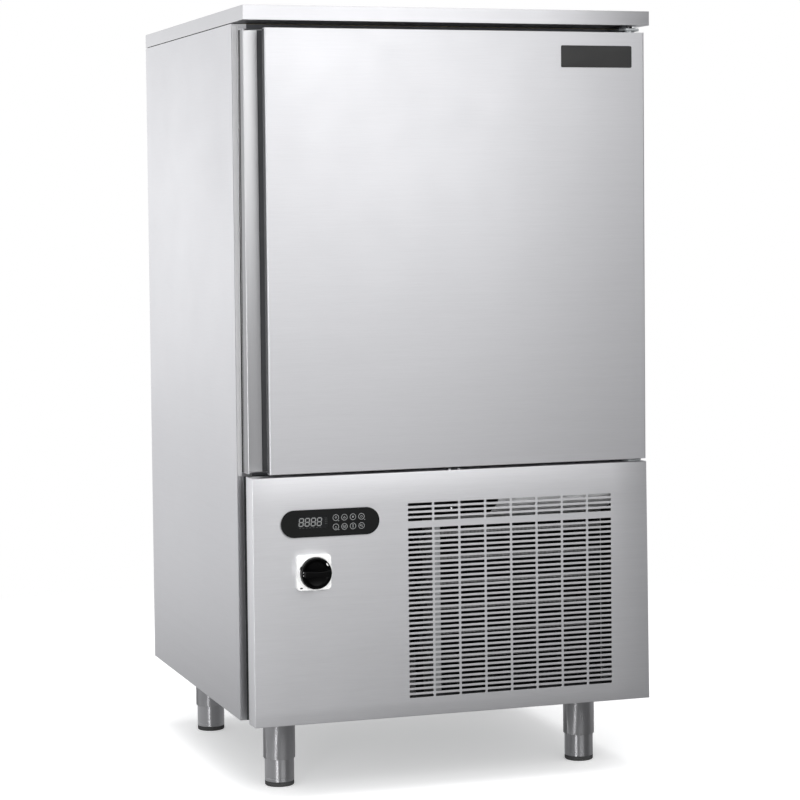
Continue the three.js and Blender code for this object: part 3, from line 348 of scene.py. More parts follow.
class Sheet:
    """Places and joins nodes in one node tree."""

    def __init__(self, tree: bpy.types.NodeTree) -> None:
        """Starts on an existing tree."""
        self.tree = tree

    @staticmethod
    def emptied(owner: bpy.types.Material | bpy.types.World) -> "Sheet":
        """Sheet on the node tree of a material or a world, once its nodes are cleared away.

        Args:
            owner: The material or the world.

        Returns:
            The sheet.
        """
        owner.use_nodes = True
        owner.node_tree.nodes.clear()
        return Sheet(owner.node_tree)

    def node(self, kind: str, *ordered: object, **named: object) -> bpy.types.Node:
        """New node with its attributes and inputs set.

        Args:
            kind: Node type, without its ShaderNode prefix.
            ordered: Values or sockets for its first inputs, in order.
            named: Attributes, or values and sockets for inputs, by names with underscores for spaces.

        Returns:
            The node.
        """
        made = self.tree.nodes.new(kind if kind.startswith("Node") else "ShaderNode" + kind)
        for key, value in named.items():
            if hasattr(made, key):
                setattr(made, key, value)
            else:
                label = key.replace("_", " ")
                self.feed(next(s for s in made.inputs if s.name == label and s.enabled), value)
        for socket, value in zip(made.inputs, ordered):
            self.feed(socket, value)
        return made

    def feed(self, socket: bpy.types.NodeSocket, value: object) -> None:
        """Gives an input a value, or joins an output to it.

        Args:
            socket: The input.
            value: A plain value or an output socket.
        """
        if isinstance(value, bpy.types.NodeSocket):
            self.tree.links.new(value, socket)
        else:
            socket.default_value = value

    def calc(self, kind: str, *values: object) -> bpy.types.NodeSocket:
        """Output of a Math node of the given operation."""
        return self.node("Math", *values, operation=kind).outputs[0]

    def vector(self, kind: str, *values: object) -> bpy.types.Node:
        """Vector Math node of the given operation."""
        return self.node("VectorMath", *values, operation=kind)

    def split(self, value: bpy.types.NodeSocket) -> bpy.types.NodeOutputs:
        """X, Y and Z of a vector."""
        return self.node("SeparateXYZ", value).outputs

    def spread(self, value: object, source: Pair, target: Pair = (0.0, 1.0)) -> bpy.types.NodeSocket:
        """Value taken from the source range to the target range, held at its ends."""
        return self.node("MapRange", value, *source, *target).outputs[0]

    def shaders(self, factor: object, first: object, second: object) -> bpy.types.NodeSocket:
        """Mix of two shaders."""
        return self.node("MixShader", factor, first, second).outputs[0]

    def blend(self, factor: object, first: object, second: object) -> bpy.types.NodeSocket:
        """Colour between two colours.

        Args:
            factor: 0 for the first colour, 1 for the second.
            first: A colour or an output socket.
            second: A colour or an output socket.

        Returns:
            The mixed colour.
        """
        made = self.node("Mix", data_type="RGBA")
        for index, item in ((0, factor), (6, first), (7, second)):
            self.feed(made.inputs[index], item)
        return made.outputs[2]

    def noise(
        self, vector: object, scale: object, detail: float = 2.0, rough: float = 0.5
    ) -> bpy.types.NodeSocket:
        """Noise between 0 and 1, about 0.5."""
        return self.node("TexNoise", Vector=vector, Scale=scale, Detail=detail, Roughness=rough).outputs[0]

    def group(self, tree: bpy.types.NodeTree, **values: object) -> bpy.types.Node:
        """Node of a shader group.

        Args:
            tree: The group.
            values: Values or sockets for its inputs, by name.

        Returns:
            The node.
        """
        made = self.node("Group", node_tree=tree)
        for key, value in values.items():
            self.feed(made.inputs[key], value)
        return made


class Effects:
    """Shader groups that several finishes share, each built once."""

    @staticmethod
    def start(
        name: str, inputs: dict[str, tuple[str, object]], outputs: dict[str, str]
    ) -> tuple[bpy.types.NodeTree, Sheet, bpy.types.NodeOutputs, bpy.types.NodeInputs]:
        """New group tree with its sockets.

        Args:
            name: Name of the group.
            inputs: Socket type and first value of each input, by name.
            outputs: Socket type of each output, by name.

        Returns:
            The tree, its sheet, the values that come in and the sockets that go out.
        """
        tree = bpy.data.node_groups.new(name, "ShaderNodeTree")
        for label, (kind, value) in inputs.items():
            socket = tree.interface.new_socket(name=label, in_out="INPUT", socket_type="NodeSocket" + kind)
            if value is not None:
                socket.default_value = value
        for label, kind in outputs.items():
            tree.interface.new_socket(name=label, in_out="OUTPUT", socket_type="NodeSocket" + kind)
        sheet = Sheet(tree)
        return tree, sheet, sheet.node("NodeGroupInput").outputs, sheet.node("NodeGroupOutput").inputs

    @staticmethod
    @functools.cache
    def brushed_grain() -> bpy.types.NodeTree:
        """Fine and coarse streaks of brushed sheet, from a vector that is already stretched along them.

        Returns:
            Group with outputs Tone, from 0 to 1, and Height.
        """
        tree, s, given, out = Effects.start(
            "brushed_grain",
            {"Vector": ("Vector", None), "Fine": ("Float", 40.0), "Coarse": ("Float", 4.0)},
            {"Tone": "Float", "Height": "Float"},
        )
        fine = s.noise(given["Vector"], given["Fine"], 3.0, 0.7)
        coarse = s.noise(given["Vector"], given["Coarse"], 2.0, 0.5)
        s.feed(out["Tone"], s.calc("ADD", s.calc("MULTIPLY", fine, 0.75), s.calc("MULTIPLY", coarse, 0.25)))
        s.feed(out["Height"], fine)
        return tree

    @staticmethod
    @functools.cache
    def edge_wear() -> bpy.types.NodeTree:
        """Rounded normal along edges, and a broken mask of where they are rubbed.

        Returns:
            Group with outputs Mask and Normal.
        """
        tree, s, given, out = Effects.start(
            "edge_wear",
            {"Vector": ("Vector", None), "Radius": ("Float", 0.001), "Patches": ("Float", 40.0)},
            {"Mask": "Float", "Normal": "Vector"},
        )
        bevel = s.node("Bevel", samples=4, Radius=given["Radius"]).outputs[0]
        dot = s.vector("DOT_PRODUCT", bevel, s.node("NewGeometry").outputs["Normal"])
        rub = s.spread(s.calc("SUBTRACT", 1.0, dot.outputs["Value"]), (0.01, 0.2))
        broken = s.spread(s.noise(given["Vector"], given["Patches"], 3.0, 0.6), (0.4, 0.62), (0.25, 1.0))
        s.feed(out["Mask"], s.calc("MULTIPLY", rub, broken))
        s.feed(out["Normal"], bevel)
        return tree

    @staticmethod
    @functools.cache
    def handling() -> bpy.types.NodeTree:
        """Wiped smudges and faint blotches.

        Returns:
            Group with output Mask, from 0 to 1.
        """
        tree, s, given, out = Effects.start(
            "handling", {"Vector": ("Vector", None), "Scale": ("Float", 3.0)}, {"Mask": "Float"}
        )
        broad = s.noise(given["Vector"], given["Scale"], 3.0, 0.55)
        small = s.noise(given["Vector"], s.calc("MULTIPLY", given["Scale"], 7.0), 4.0, 0.6)
        mixed = s.calc("ADD", s.calc("MULTIPLY", broad, 0.7), s.calc("MULTIPLY", small, 0.3))
        s.feed(out["Mask"], s.spread(mixed, (0.32, 0.68)))
        return tree

    @staticmethod
    @functools.cache
    def settled_dust() -> bpy.types.NodeTree:
        """Dust on faces that look up.

        Returns:
            Group with output Mask, from 0 to 1.
        """
        tree, s, given, out = Effects.start(
            "settled_dust", {"Vector": ("Vector", None), "Amount": ("Float", 0.3)}, {"Mask": "Float"}
        )
        level = s.spread(s.split(s.node("NewGeometry").outputs["Normal"])["Z"], (0.6, 1.0))
        patches = s.spread(s.noise(given["Vector"], 9.0, 4.0, 0.6), (0.35, 0.7), (0.3, 1.0))
        s.feed(out["Mask"], s.calc("MULTIPLY", s.calc("MULTIPLY", level, patches), given["Amount"]))
        return tree


# ---- Finishes --------------------------------------------------------------------------------

DUST_COLOUR: Colour = (0.55, 0.54, 0.52, 1.0)
DUST_ROUGHNESS = 0.2
RUBBED_GAIN = 1.25
RUBBED_LIFT = 0.04


def shaded(colour: Triple, share: float) -> Colour:
    """Colour times a share, opaque."""
    return (*(min(1.0, c * share) for c in colour), 1.0)


@dataclass(frozen=True)
class Finish:
    """A surface finish: its name, colour and roughness, and how it varies.

    The bend is the radius that its edges seem to have, and wear and dust run from 0 to 1.
    """

    name: str
    colour: Triple
    roughness: float
    metallic: float = 0.0
    bend: float = 0.6 * MM
    wear: float = 0.0
    dust: float = 0.0
    specular: float = 0.5

    def material(self) -> bpy.types.Material:
        """The finish as a material, built on first use.

        Returns:
            The material.
        """
        made = bpy.data.materials.get(self.name)
        if made is None:
            made = bpy.data.materials.new(self.name)
            made.diffuse_color = (*self.colour, 1.0)
            s = Sheet.emptied(made)
            shader = s.node("BsdfPrincipled", Metallic=self.metallic, Specular_IOR_Level=self.specular)
            s.node("OutputMaterial", Surface=shader.outputs[0])
            self.paint(s, shader, s.node("TexCoord").outputs["Object"])
        return made

    def paint(self, s: Sheet, shader: bpy.types.Node, place: bpy.types.NodeSocket) -> None:
        """Joins the finish's colour, roughness and normal to the shader.

        Args:
            s: Sheet of the material.
            shader: The Principled BSDF.
            place: Object coordinates.
        """
        raise NotImplementedError

    def tinted(self, s: Sheet, mask: object, low: float, high: float) -> bpy.types.NodeSocket:
        """Colour that follows a mask, from one share of the finish's colour to another."""
        return s.blend(mask, shaded(self.colour, low), shaded(self.colour, high))

    def roughened(self, s: Sheet, mask: object, reach: float) -> bpy.types.NodeSocket:
        """Roughness that follows a mask, within reach on both sides of the finish's own."""
        return s.spread(mask, (0.0, 1.0), (self.roughness - reach, self.roughness + reach))

    def worn(
        self,
        s: Sheet,
        shader: bpy.types.Node,
        place: bpy.types.NodeSocket,
        colour: bpy.types.NodeSocket,
        rough: bpy.types.NodeSocket,
        height: bpy.types.NodeSocket,
        rise: float,
    ) -> None:
        """Last steps that every finish shares: edge wear, dust and bump.

        Args:
            s: Sheet of the material.
            shader: The Principled BSDF.
            place: Object coordinates.
            colour: Colour so far.
            rough: Roughness so far.
            height: Height of the fine relief, from 0 to 1.
            rise: The relief's depth in metres.
        """
        edge = s.group(Effects.edge_wear(), Vector=place, Radius=self.bend)
        pale = tuple(min(1.0, c * RUBBED_GAIN + RUBBED_LIFT) for c in self.colour)
        tint = s.blend(s.calc("MULTIPLY", edge.outputs["Mask"], self.wear), colour, (*pale, 1.0))
        dust = s.group(Effects.settled_dust(), Vector=place, Amount=self.dust).outputs["Mask"]
        s.feed(shader.inputs["Base Color"], s.blend(dust, tint, DUST_COLOUR))
        s.feed(shader.inputs["Roughness"], s.calc("ADD", rough, s.calc("MULTIPLY", dust, DUST_ROUGHNESS)))
        bump = s.node("Bump", Strength=1.0, Distance=rise, Height=height, Normal=edge.outputs["Normal"])
        s.feed(shader.inputs["Normal"], bump.outputs[0])

    def on(self, *names: str) -> None:
        """Gives CAD nodes this finish."""
        for name in names:
            self.cover(NODES[name])

    def cover(self, piece: bpy.types.Object) -> None:
        """Gives one object this finish.

        Args:
            piece: The object.
        """
        if not piece.material_slots:
            piece.data.materials.append(self.material())
        for slot in piece.material_slots:
            slot.material = self.material()


@dataclass(frozen=True)
class BrushedSteel(Finish):
    """Stainless sheet brushed in one direction, with smudges.

    Its gloss is combed across the strokes, and faces that look to the cabinet's middle keep only a share of
    the colour as painted shade.
    """

    metallic: float = 1.0
    grain: Grain = Grain.ALONG_X
    streak: float = 0.035
    smudge: float = 0.03
    relief: float = 0.08e-6
    # Share of the colour kept on faces that look into the cabinet: painted shade.
    inner_shade: float = 1.0
    combed: float = 0.55
    fine_grain: float = 22.0
    coarse_grain: float = 2.2
    smudge_scale: float = 2.4
    streak_roughness: float = 0.06

    def paint(self, s: Sheet, shader: bpy.types.Node, place: bpy.types.NodeSocket) -> None:
        """Streaks along the grain, and smudges that change the roughness.

        Args:
            s: Sheet of the material.
            shader: The Principled BSDF.
            place: Object coordinates.
        """
        squeeze, strokes = self.grain.value
        stretched = s.node("Mapping", Vector=place, Scale=squeeze).outputs[0]
        scales = {"Fine": self.fine_grain, "Coarse": self.coarse_grain}
        grain = s.group(Effects.brushed_grain(), Vector=stretched, **scales)
        smudges = s.group(Effects.handling(), Vector=place, Scale=self.smudge_scale).outputs["Mask"]
        tone = s.spread(grain.outputs["Tone"], (0.3, 0.7))
        colour = self.tinted(s, tone, 1 - self.streak, 1 + self.streak)
        lines = s.calc("MULTIPLY", s.calc("SUBTRACT", tone, 0.5), self.streak_roughness)
        rough = s.calc("ADD", self.roughened(s, smudges, self.smudge), lines)
        across = s.vector("CROSS_PRODUCT", s.node("NewGeometry").outputs["Normal"], strokes)
        s.feed(shader.inputs["Tangent"], across.outputs[0])
        s.feed(shader.inputs["Anisotropic"], self.combed)
        # Painted shade: faces that look into the cabinet take a darker share of the colour.
        if self.inner_shade < 1.0:
            colour = s.blend(self.looks_inward(s, place), colour, shaded(self.colour, self.inner_shade))
        self.worn(s, shader, place, colour, rough, grain.outputs["Height"], self.relief)

    @staticmethod
    def looks_inward(s: Sheet, place: bpy.types.NodeSocket) -> bpy.types.NodeSocket:
        """1 on faces that look to the cabinet's middle, where x times the normal's x is below -0.2; these
        take the painted shade.
        """
        where, normal = s.split(place), s.split(s.node("NewGeometry").outputs["Normal"])
        return s.calc("LESS_THAN", s.calc("MULTIPLY", where["X"], normal["X"]), -0.2)


@dataclass(frozen=True)
class Galvanised(Finish):
    """Zinc-coated sheet with its crystal pattern."""

    metallic: float = 0.9
    uneven: float = 0.08
    greys: Pair = (0.86, 1.1)
    crystals: float = 90.0
    relief: float = 2e-6

    def paint(self, s: Sheet, shader: bpy.types.Node, place: bpy.types.NodeSocket) -> None:
        """Cells of slightly different grey and gloss.

        Args:
            s: Sheet of the material.
            shader: The Principled BSDF.
            place: Object coordinates.
        """
        cells = s.node("TexVoronoi", Scale=self.crystals, Vector=place)
        tone, gloss, height = s.node("SeparateColor", cells.outputs["Color"]).outputs
        colour = self.tinted(s, tone, *self.greys)
        self.worn(s, shader, place, colour, self.roughened(s, gloss, self.uneven), height, self.relief)


@dataclass(frozen=True)
class Moulded(Finish):
    """Moulded plastic or painted metal with a fine skin texture."""

    skin: float = 900.0
    relief: float = 6e-6
    vary: float = 0.08
    uneven: float = 0.05
    drift_scale: float = 9.0

    def paint(self, s: Sheet, shader: bpy.types.Node, place: bpy.types.NodeSocket) -> None:
        """Fine relief, and a tone that drifts across the piece.

        Args:
            s: Sheet of the material.
            shader: The Principled BSDF.
            place: Object coordinates.
        """
        drift = s.group(Effects.handling(), Vector=place, Scale=self.drift_scale).outputs["Mask"]
        colour = self.tinted(s, drift, 1 - self.vary, 1 + self.vary)
        rough = self.roughened(s, drift, self.uneven)
        self.worn(s, shader, place, colour, rough, s.noise(place, self.skin), self.relief)


@dataclass(frozen=True)
class Foamed(Finish):
    """Rigid foam with small open cells."""

    cells: float = 700.0
    greys: Pair = (0.85, 1.08)
    uneven: float = 0.05
    relief: float = 3e-4

    def paint(self, s: Sheet, shader: bpy.types.Node, place: bpy.types.NodeSocket) -> None:
        """Round cells in the colour and the relief.

        Args:
            s: Sheet of the material.
            shader: The Principled BSDF.
            place: Object coordinates.
        """
        distance = s.node("TexVoronoi", Scale=self.cells, Vector=place).outputs["Distance"]
        colour = self.tinted(s, distance, *self.greys)
        self.worn(s, shader, place, colour, self.roughened(s, distance, self.uneven), distance, self.relief)


DOOR_STEEL = BrushedSteel("door_steel", (0.72, 0.72, 0.74), 0.44, bend=0.9 * MM, wear=0.3)
# Brighter copy of the door's steel: painted light for the extra light that falls on the front panel.
LIT_PANEL_STEEL = BrushedSteel("lit_panel_steel", (0.90, 0.90, 0.92), 0.42, wear=0.35)
COVER_STEEL = BrushedSteel(
    "cover_steel", (0.57, 0.57, 0.586), 0.31, combed=0.85, bend=0.8 * MM, wear=0.3, dust=0.05
)
# Side sheets: faces that look into the cabinet are darkened to 12% of the colour as painted shade.
SIDE_STEEL = BrushedSteel(
    "side_steel", (0.72, 0.72, 0.74), 0.42, bend=0.5 * MM, grain=Grain.ALONG_Y, wear=0.3, inner_shade=0.12
)
LINER_STEEL = BrushedSteel("liner_steel", (0.74, 0.74, 0.75), 0.32, grain=Grain.ALONG_Z, wear=0.2)
GRIP_STEEL = BrushedSteel(
    "grip_steel", (0.64, 0.64, 0.652), 0.32, metallic=0.9,
    grain=Grain.ALONG_Z, bend=0.4 * MM, smudge=0.0, combed=0.0,
)
# Darker copy of the grip steel for the grip's side strip: painted shade of the gap beside the side sheet.
GRIP_SIDE_SHADED_STEEL = BrushedSteel(
    "grip_side_painted_shade", (0.45, 0.45, 0.46), 0.5, grain=Grain.ALONG_Z, bend=0.4 * MM
)
LEG_STEEL = BrushedSteel(
    "leg_steel", (0.58, 0.58, 0.595), 0.4, streak=0.05, wear=0.3, smudge=0.0, combed=0.97
)
WIRE_STEEL = BrushedSteel(
    "wire_steel", (0.74, 0.74, 0.75), 0.2, grain=Grain.ALONG_Z, wear=0.1, bend=0.3 * MM
)
TRIM_STEEL = BrushedSteel(
    "trim_steel", (0.74, 0.74, 0.75), 0.5, metallic=0.35, grain=Grain.ALONG_Z, wear=0.1
)
# Near-white, barely metallic strip: painted highlight along the inner bend of each side sheet's front edge.
HEM_HIGHLIGHT_STEEL = BrushedSteel(
    "hem_painted_highlight", (0.95, 0.95, 0.96), 0.5, metallic=0.3, grain=Grain.ALONG_Z, wear=0.1
)
FOIL = BrushedSteel("foil", (0.93, 0.93, 0.94), 0.3, metallic=0.5, streak=0.0, combed=0.0)
PALE_ZINC = Galvanised("pale_zinc", (0.50, 0.51, 0.52), 0.45, metallic=0.2)
# Zinc darkened to near black as painted shade of the closed machine compartment and of the space behind the
# rear slots.
SHADED_ZINC = Galvanised("zinc_painted_shade", (0.10, 0.105, 0.11), 0.5, wear=0.1)
ZINC_SHEET = Galvanised("zinc_sheet", (0.50, 0.52, 0.53), 0.42, wear=0.3, dust=0.1)
FIN_METAL = Galvanised("fin_metal", (0.03, 0.031, 0.033), 0.6, bend=0.1 * MM)
TUBE_METAL = Galvanised("tube_metal", (0.40, 0.40, 0.40), 0.4, metallic=0.4, bend=0.2 * MM)
DARK_MOULDING = Moulded("dark_moulding", (0.035, 0.037, 0.04), 0.5, wear=0.2, specular=0.3)
# Near-black moulding in the grip's recess: painted shade of the undercut behind the skin's edge.
RECESS_SHADE_MOULDING = Moulded("recess_painted_shade", (0.08, 0.082, 0.087), 0.5, wear=0.1)
FRAME_MOULDING = Moulded("frame_moulding", (0.13, 0.135, 0.145), 0.5, wear=0.2)
GREY_MOULDING = Moulded("grey_moulding", (0.16, 0.165, 0.175), 0.5, wear=0.15, dust=0.1)
FASCIA_FILM = Moulded(
    "fascia_film", (0.008, 0.0085, 0.0085), 0.5, skin=2600.0, relief=2e-6, wear=0.05, specular=0.12
)
KNOB_GLOSS = Moulded("knob_gloss", (0.0012, 0.0012, 0.0013), 0.26, relief=1.5e-6, specular=0.10)
WHITE_MOULDING = Moulded("white_moulding", (0.86, 0.86, 0.85), 0.38, vary=0.02, relief=2e-6)
# Near-black rubber of the leg pads; the same colour fills the gaps beside the door as painted shadow.
RUBBER_AND_GAP_SHADOW = Moulded("rubber", (0.008, 0.008, 0.0085), 0.7, skin=500.0, relief=2e-5, specular=0.15)
GASKET_RUBBER = Moulded("gasket_rubber", (0.09, 0.09, 0.095), 0.6, skin=400.0, relief=1e-5)
FAN_PLASTIC = Moulded("fan_plastic", (0.03, 0.031, 0.033), 0.45, dust=0.2)
MACHINE_PAINT = Moulded(
    "machine_paint", (0.02, 0.021, 0.023), 0.4, skin=220.0, relief=4e-5, wear=0.4, dust=0.3
)
BADGE_FACE = Moulded(
    "badge_face", (0.03, 0.03, 0.03), 0.45, skin=2000.0, relief=1e-6, wear=0.1, bend=0.4 * MM, specular=0.15
)
WINDOW_SMOKE = Moulded("window_smoke", (0.011, 0.0115, 0.012), 0.2, relief=5e-7, specular=0.12)
PRINT_PALE = Moulded("print_pale", (0.34, 0.35, 0.35), 0.5, relief=1e-6)
PRINT_WHITE = Moulded("print_white", (0.75, 0.75, 0.74), 0.5, relief=1e-6)
# Dark print on the switch plate; the same colour is painted shade in the screws' cross recesses.
DARK_PRINT_AND_SHADE = Moulded("dark_print_and_shade", (0.03, 0.03, 0.03), 0.5, relief=1e-6)
DIGIT_PALE = Moulded("digit_pale", (0.20, 0.205, 0.205), 0.4, relief=1e-6)
DIGIT_FAINT = Moulded("digit_faint", (0.05, 0.052, 0.052), 0.4, relief=1e-6)
CORE_FOAM = Foamed("core_foam", (0.62, 0.54, 0.34), 0.85)


# ---- Pieces ----------------------------------------------------------------------------------


def fit(piece: bpy.types.Object, finish: Finish, body: str, replaces: Sequence[str]) -> None:
    """Gives a piece its finish and lets it ride on its body.

    Args:
        piece: The piece.
        finish: Its finish.
        body: Body that carries it.
        replaces: CAD nodes that it stands for.
    """
    finish.cover(piece)
    if replaces:
        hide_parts(*replaces)
    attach(piece, body)
    LOG.info("%s: %d faces on %s", piece.name, len(piece.data.polygons), body)


def show(
    surface: Surface,
    name: str,
    finish: Finish,
    body: str,
    replaces: Sequence[str] = (),
    smooth: float = SHARP_ANGLE,
) -> None:
    """Makes a closed piece and fits it; smooth is the angle above which an edge stays sharp."""
    fit(surface.object(name, smooth), finish, body, replaces)


def walled(
    surface: Surface,
    name: str,
    thickness: float,
    finish: Finish,
    body: str,
    replaces: Sequence[str] = (),
    offset: float = -1.0,
) -> None:
    """Makes an open surface a sheet with a wall, its edges marked sharp where wall and faces meet.

    Args:
        surface: The open surface.
        name: Name of the piece.
        thickness: Thickness of the wall.
        finish: Its finish.
        body: Body that carries it.
        replaces: CAD nodes that it stands for.
        offset: -1 puts the wall behind the faces, 1 in front of them and 0 on both sides.
    """
    piece = surface.object(name, closed=False)
    wall = piece.modifiers.new("wall", "SOLIDIFY")
    wall.thickness, wall.offset = thickness, offset
    thin = piece.data
    thick = bpy.data.meshes.new_from_object(piece.evaluated_get(bpy.context.evaluated_depsgraph_get()))
    piece.modifiers.clear()
    piece.data = thick
    bpy.data.meshes.remove(thin)
    thick.name = name
    thick.set_sharp_from_angle(angle=math.radians(SHARP_ANGLE))
    fit(piece, finish, body, replaces)


def corners(node: str) -> tuple[np.ndarray, np.ndarray]:
    """Lowest and highest corner of a CAD node."""
    low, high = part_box(node)
    return np.array(low), np.array(high)


def middle(node: str) -> np.ndarray:
    """Middle of a CAD node's box."""
    low, high = corners(node)
    return (low + high) / 2


# ---- Cabinet ---------------------------------------------------------------------------------


@dataclass
class Screws:
    """Pan-head screws with a cross recess."""

    radius: float = 3.6 * MM
    rise: float = 2.0 * MM
    sunk: float = 0.4 * MM
    recess: float = 0.7 * MM
    recess_floor: float = 0.6
    recess_proud: float = 0.05 * MM

    def heads(self, places: Sequence[Triple], facing: Facing, hand: int) -> Surface:
        """Domed heads: r(t) = R cos t, h(t) = H sin t.

        Args:
            places: Points on the sheet under each head.
            facing: Axis that the screws lie along.
            hand: -1 for heads towards the front or the floor, 1 for the other way.

        Returns:
            All the heads.
        """
        turn = np.linspace(0.0, math.pi / 2, 7)
        dome = [(0.0, -hand * self.sunk), (self.radius, -hand * self.sunk)]
        dome += [(self.radius * math.cos(t), hand * self.rise * math.sin(t)) for t in turn]
        return lathed(dome, ORIGIN, facing, 20).at(places)

    def crosses(self, places: Sequence[Triple], facing: Facing, hand: int) -> Surface:
        """Dark crosses in the heads, each of two bars, that stand in as painted shade for the cross recesses.

        Args:
            places: Points on the sheet under each head.
            facing: Axis that the screws lie along.
            hand: -1 for heads towards the front or the floor, 1 for the other way.

        Returns:
            All the crosses.
        """
        arm = Outline.rounded(self.radius * 1.1, self.recess, self.recess / 3, 2)
        rings = [(0, hand * self.rise * self.recess_floor), (0, hand * (self.rise + self.recess_proud))]
        about_y, about_z = [[0, 0, 1], [0, 1, 0], [-1, 0, 0]], [[0, -1, 0], [1, 0, 0], [0, 0, 1]]
        turns = np.array([np.eye(3), about_y if facing is Facing.BACK else about_z])
        return stacked(arm, rings, ORIGIN, facing).turned_by(turns).at(places)

    def show(
        self, name: str, places: Sequence[Triple], facing: Facing, hand: int, finish: Finish = WIRE_STEEL
    ) -> None:
        """Makes the screws and their crosses on the cabinet."""
        show(self.heads(places, facing, hand), name, finish, "cabinet")
        # The crosses are near black as painted shade in the heads' recesses.
        show(self.crosses(places, facing, hand), name + "_recess", DARK_PRINT_AND_SHADE, "cabinet")


@dataclass
class CabinetShell:
    """Outer sheets of the cabinet with their fixings."""

    screws: Screws = field(default_factory=lambda: Screws(rise=1.4 * MM))
    screw_inset: float = 34 * MM
    screw_inner: float = 130 * MM
    panel_screw_inset: Pair = (13 * MM, 16 * MM)
    clip_size: Triple = (5 * MM, 9 * MM, 2.2 * MM)
    clip_places: Pair = (-7.7 * MM, 10.7 * MM)
    trim_sheet: float = 0.3 * MM
    trim_width: float = 8.0 * MM
    trim_inset: float = 1 * MM
    trim_overrun: float = 8 * MM
    trim_taper: float = 0.0042
    trim_proud: float = 0.25 * MM
    hem_width: float = 1.6 * MM
    strip_width: float = 16 * MM
    strip_proud: float = 0.05 * MM
    strip_short: float = 14 * MM
    louvre_rows: int = 10
    louvre_width: float = 250 * MM
    louvre_height: float = 8 * MM
    louvre_reach: float = 12 * MM
    louvre_pitch: float = 24 * MM
    louvre_margin: float = 14 * MM
    louvre_sheet: float = 0.8 * MM
    louvre_gap: float = 0.2 * MM

    def dress(self) -> None:
        """Gives the sheets their finishes and adds fixings, trim and louvres."""
        COVER_STEEL.on("top_cover")
        SIDE_STEEL.on("side_panel_left", "side_panel_right", "back_panel", "rear_grille")
        ZINC_SHEET.on("base_pan")
        # The panel carrier is near black as painted shade behind the front panel.
        SHADED_ZINC.on("panel_carrier")
        FRAME_MOULDING.on("front_frame")
        CORE_FOAM.on("chamber_insulation")
        LINER_STEEL.on("chamber_liner")
        self.rear_screws()
        self.front_fixings()
        self.front_trim()
        self.louvre_blades()

    def front_trim(self) -> None:
        """Folded edges of each side sheet beside the door, a near-white painted highlight along their inner
        bend, and a near-black strip of painted shadow in the gap next to them.

        From the trim's inner edge inwards they lean by x - h k (z - z_middle), with h the side's hand.
        """
        low_door, high_door = corners("door_skin")
        z = middle("door_skin")[2]
        tall = high_door[2] - low_door[2] + 2 * self.trim_overrun
        # The trim is the flat fold; the hem is a near-white strip of painted highlight on its inner bend.
        parts = (
            ("trim", self.trim_width, self.trim_inset, TRIM_STEEL),
            ("hem", self.hem_width, self.trim_width + self.trim_inset, HEM_HIGHLIGHT_STEEL),
        )
        for side, hand in (("left", -1), ("right", 1)):
            low, high = corners(f"side_panel_{side}")
            edge = (low if hand < 0 else high)[0]
            for part, width, inset, finish in parts:
                place = (edge - hand * (width / 2 + inset), low[1] - self.trim_proud, z)
                strip = brick((width, self.trim_sheet, tall), place)
                leaning = np.abs(strip.points[:, 0] - edge) > self.trim_width / 2 + self.trim_inset
                strip.points[:, 0] -= hand * leaning * self.trim_taper * (strip.points[:, 2] - z)
                show(strip, f"edge_{part}_{side}", finish, "cabinet")
            # Near-black strip in the gap beside the door: painted shadow.
            inset = self.trim_width + self.strip_width / 2 - self.trim_inset
            size = (self.strip_width, self.trim_sheet, tall - self.strip_short)
            strip = brick(size, (edge - hand * inset, low[1] - self.strip_proud, z))
            show(strip, f"door_gap_shadow_{side}", RUBBER_AND_GAP_SHADOW, "cabinet")

    def louvre_blades(self) -> None:
        """Blades behind the rear slots: y = -l v and z = -l v (0.55 + 0.45 v) from a slot's upper edge."""
        low = corners("rear_grille")[0]
        first = low[2] + (corners("chamber_insulation")[0][2] - low[2]) / 3
        u = np.array([-0.5, 0.5])[:, None] * self.louvre_width
        v = np.linspace(0.0, 1.0, 6)[None, :]
        fall = -v * self.louvre_reach
        blade = Surface.grid(np.stack(np.broadcast_arrays(u, fall, fall * (0.55 + 0.45 * v)), axis=-1))
        shift = self.louvre_width / 2 + self.louvre_margin
        places = [
            (side * shift, low[1] - self.louvre_gap, first + row * self.louvre_pitch + self.louvre_height)
            for row in range(self.louvre_rows)
            for side in (-1, 1)
        ]
        # The blades are near black as painted shade behind the rear slots.
        walled(blade.at(places), "louvre_blades", self.louvre_sheet, SHADED_ZINC, "cabinet")

    def rear_screws(self) -> None:
        """Screws round the back panel and the louvred panel below it."""
        places = []
        for node, rows in (("back_panel", 5), ("rear_grille", 4)):
            low, high = corners(node)
            ends = (low[2] + self.screw_inset, high[2] - self.screw_inset)
            for x in (low[0] + self.screw_inset, high[0] - self.screw_inset):
                places += [(x, high[1], z) for z in np.linspace(*ends, rows)]
            places += [(x, high[1], z) for x in (-self.screw_inner, self.screw_inner) for z in ends]
        self.screws.show("rear_screws", places, Facing.BACK, 1)

    def front_fixings(self) -> None:
        """Two screws under the front panel, and two clips in the gap between the panel and the door."""
        low, high = corners("front_panel")
        across, back = self.panel_screw_inset
        places = [(x, low[1] + back, low[2]) for x in (low[0] + across, high[0] - across)]
        self.screws.show("panel_screws", places, Facing.UP, -1, DARK_MOULDING)
        _, deep, tall = self.clip_size
        tips = brick(self.clip_size).at([(x, low[1] + deep, high[2] + tall / 2) for x in self.clip_places])
        show(tips, "gap_clips", WIRE_STEEL, "cabinet")


# ---- Door ------------------------------------------------------------------------------------


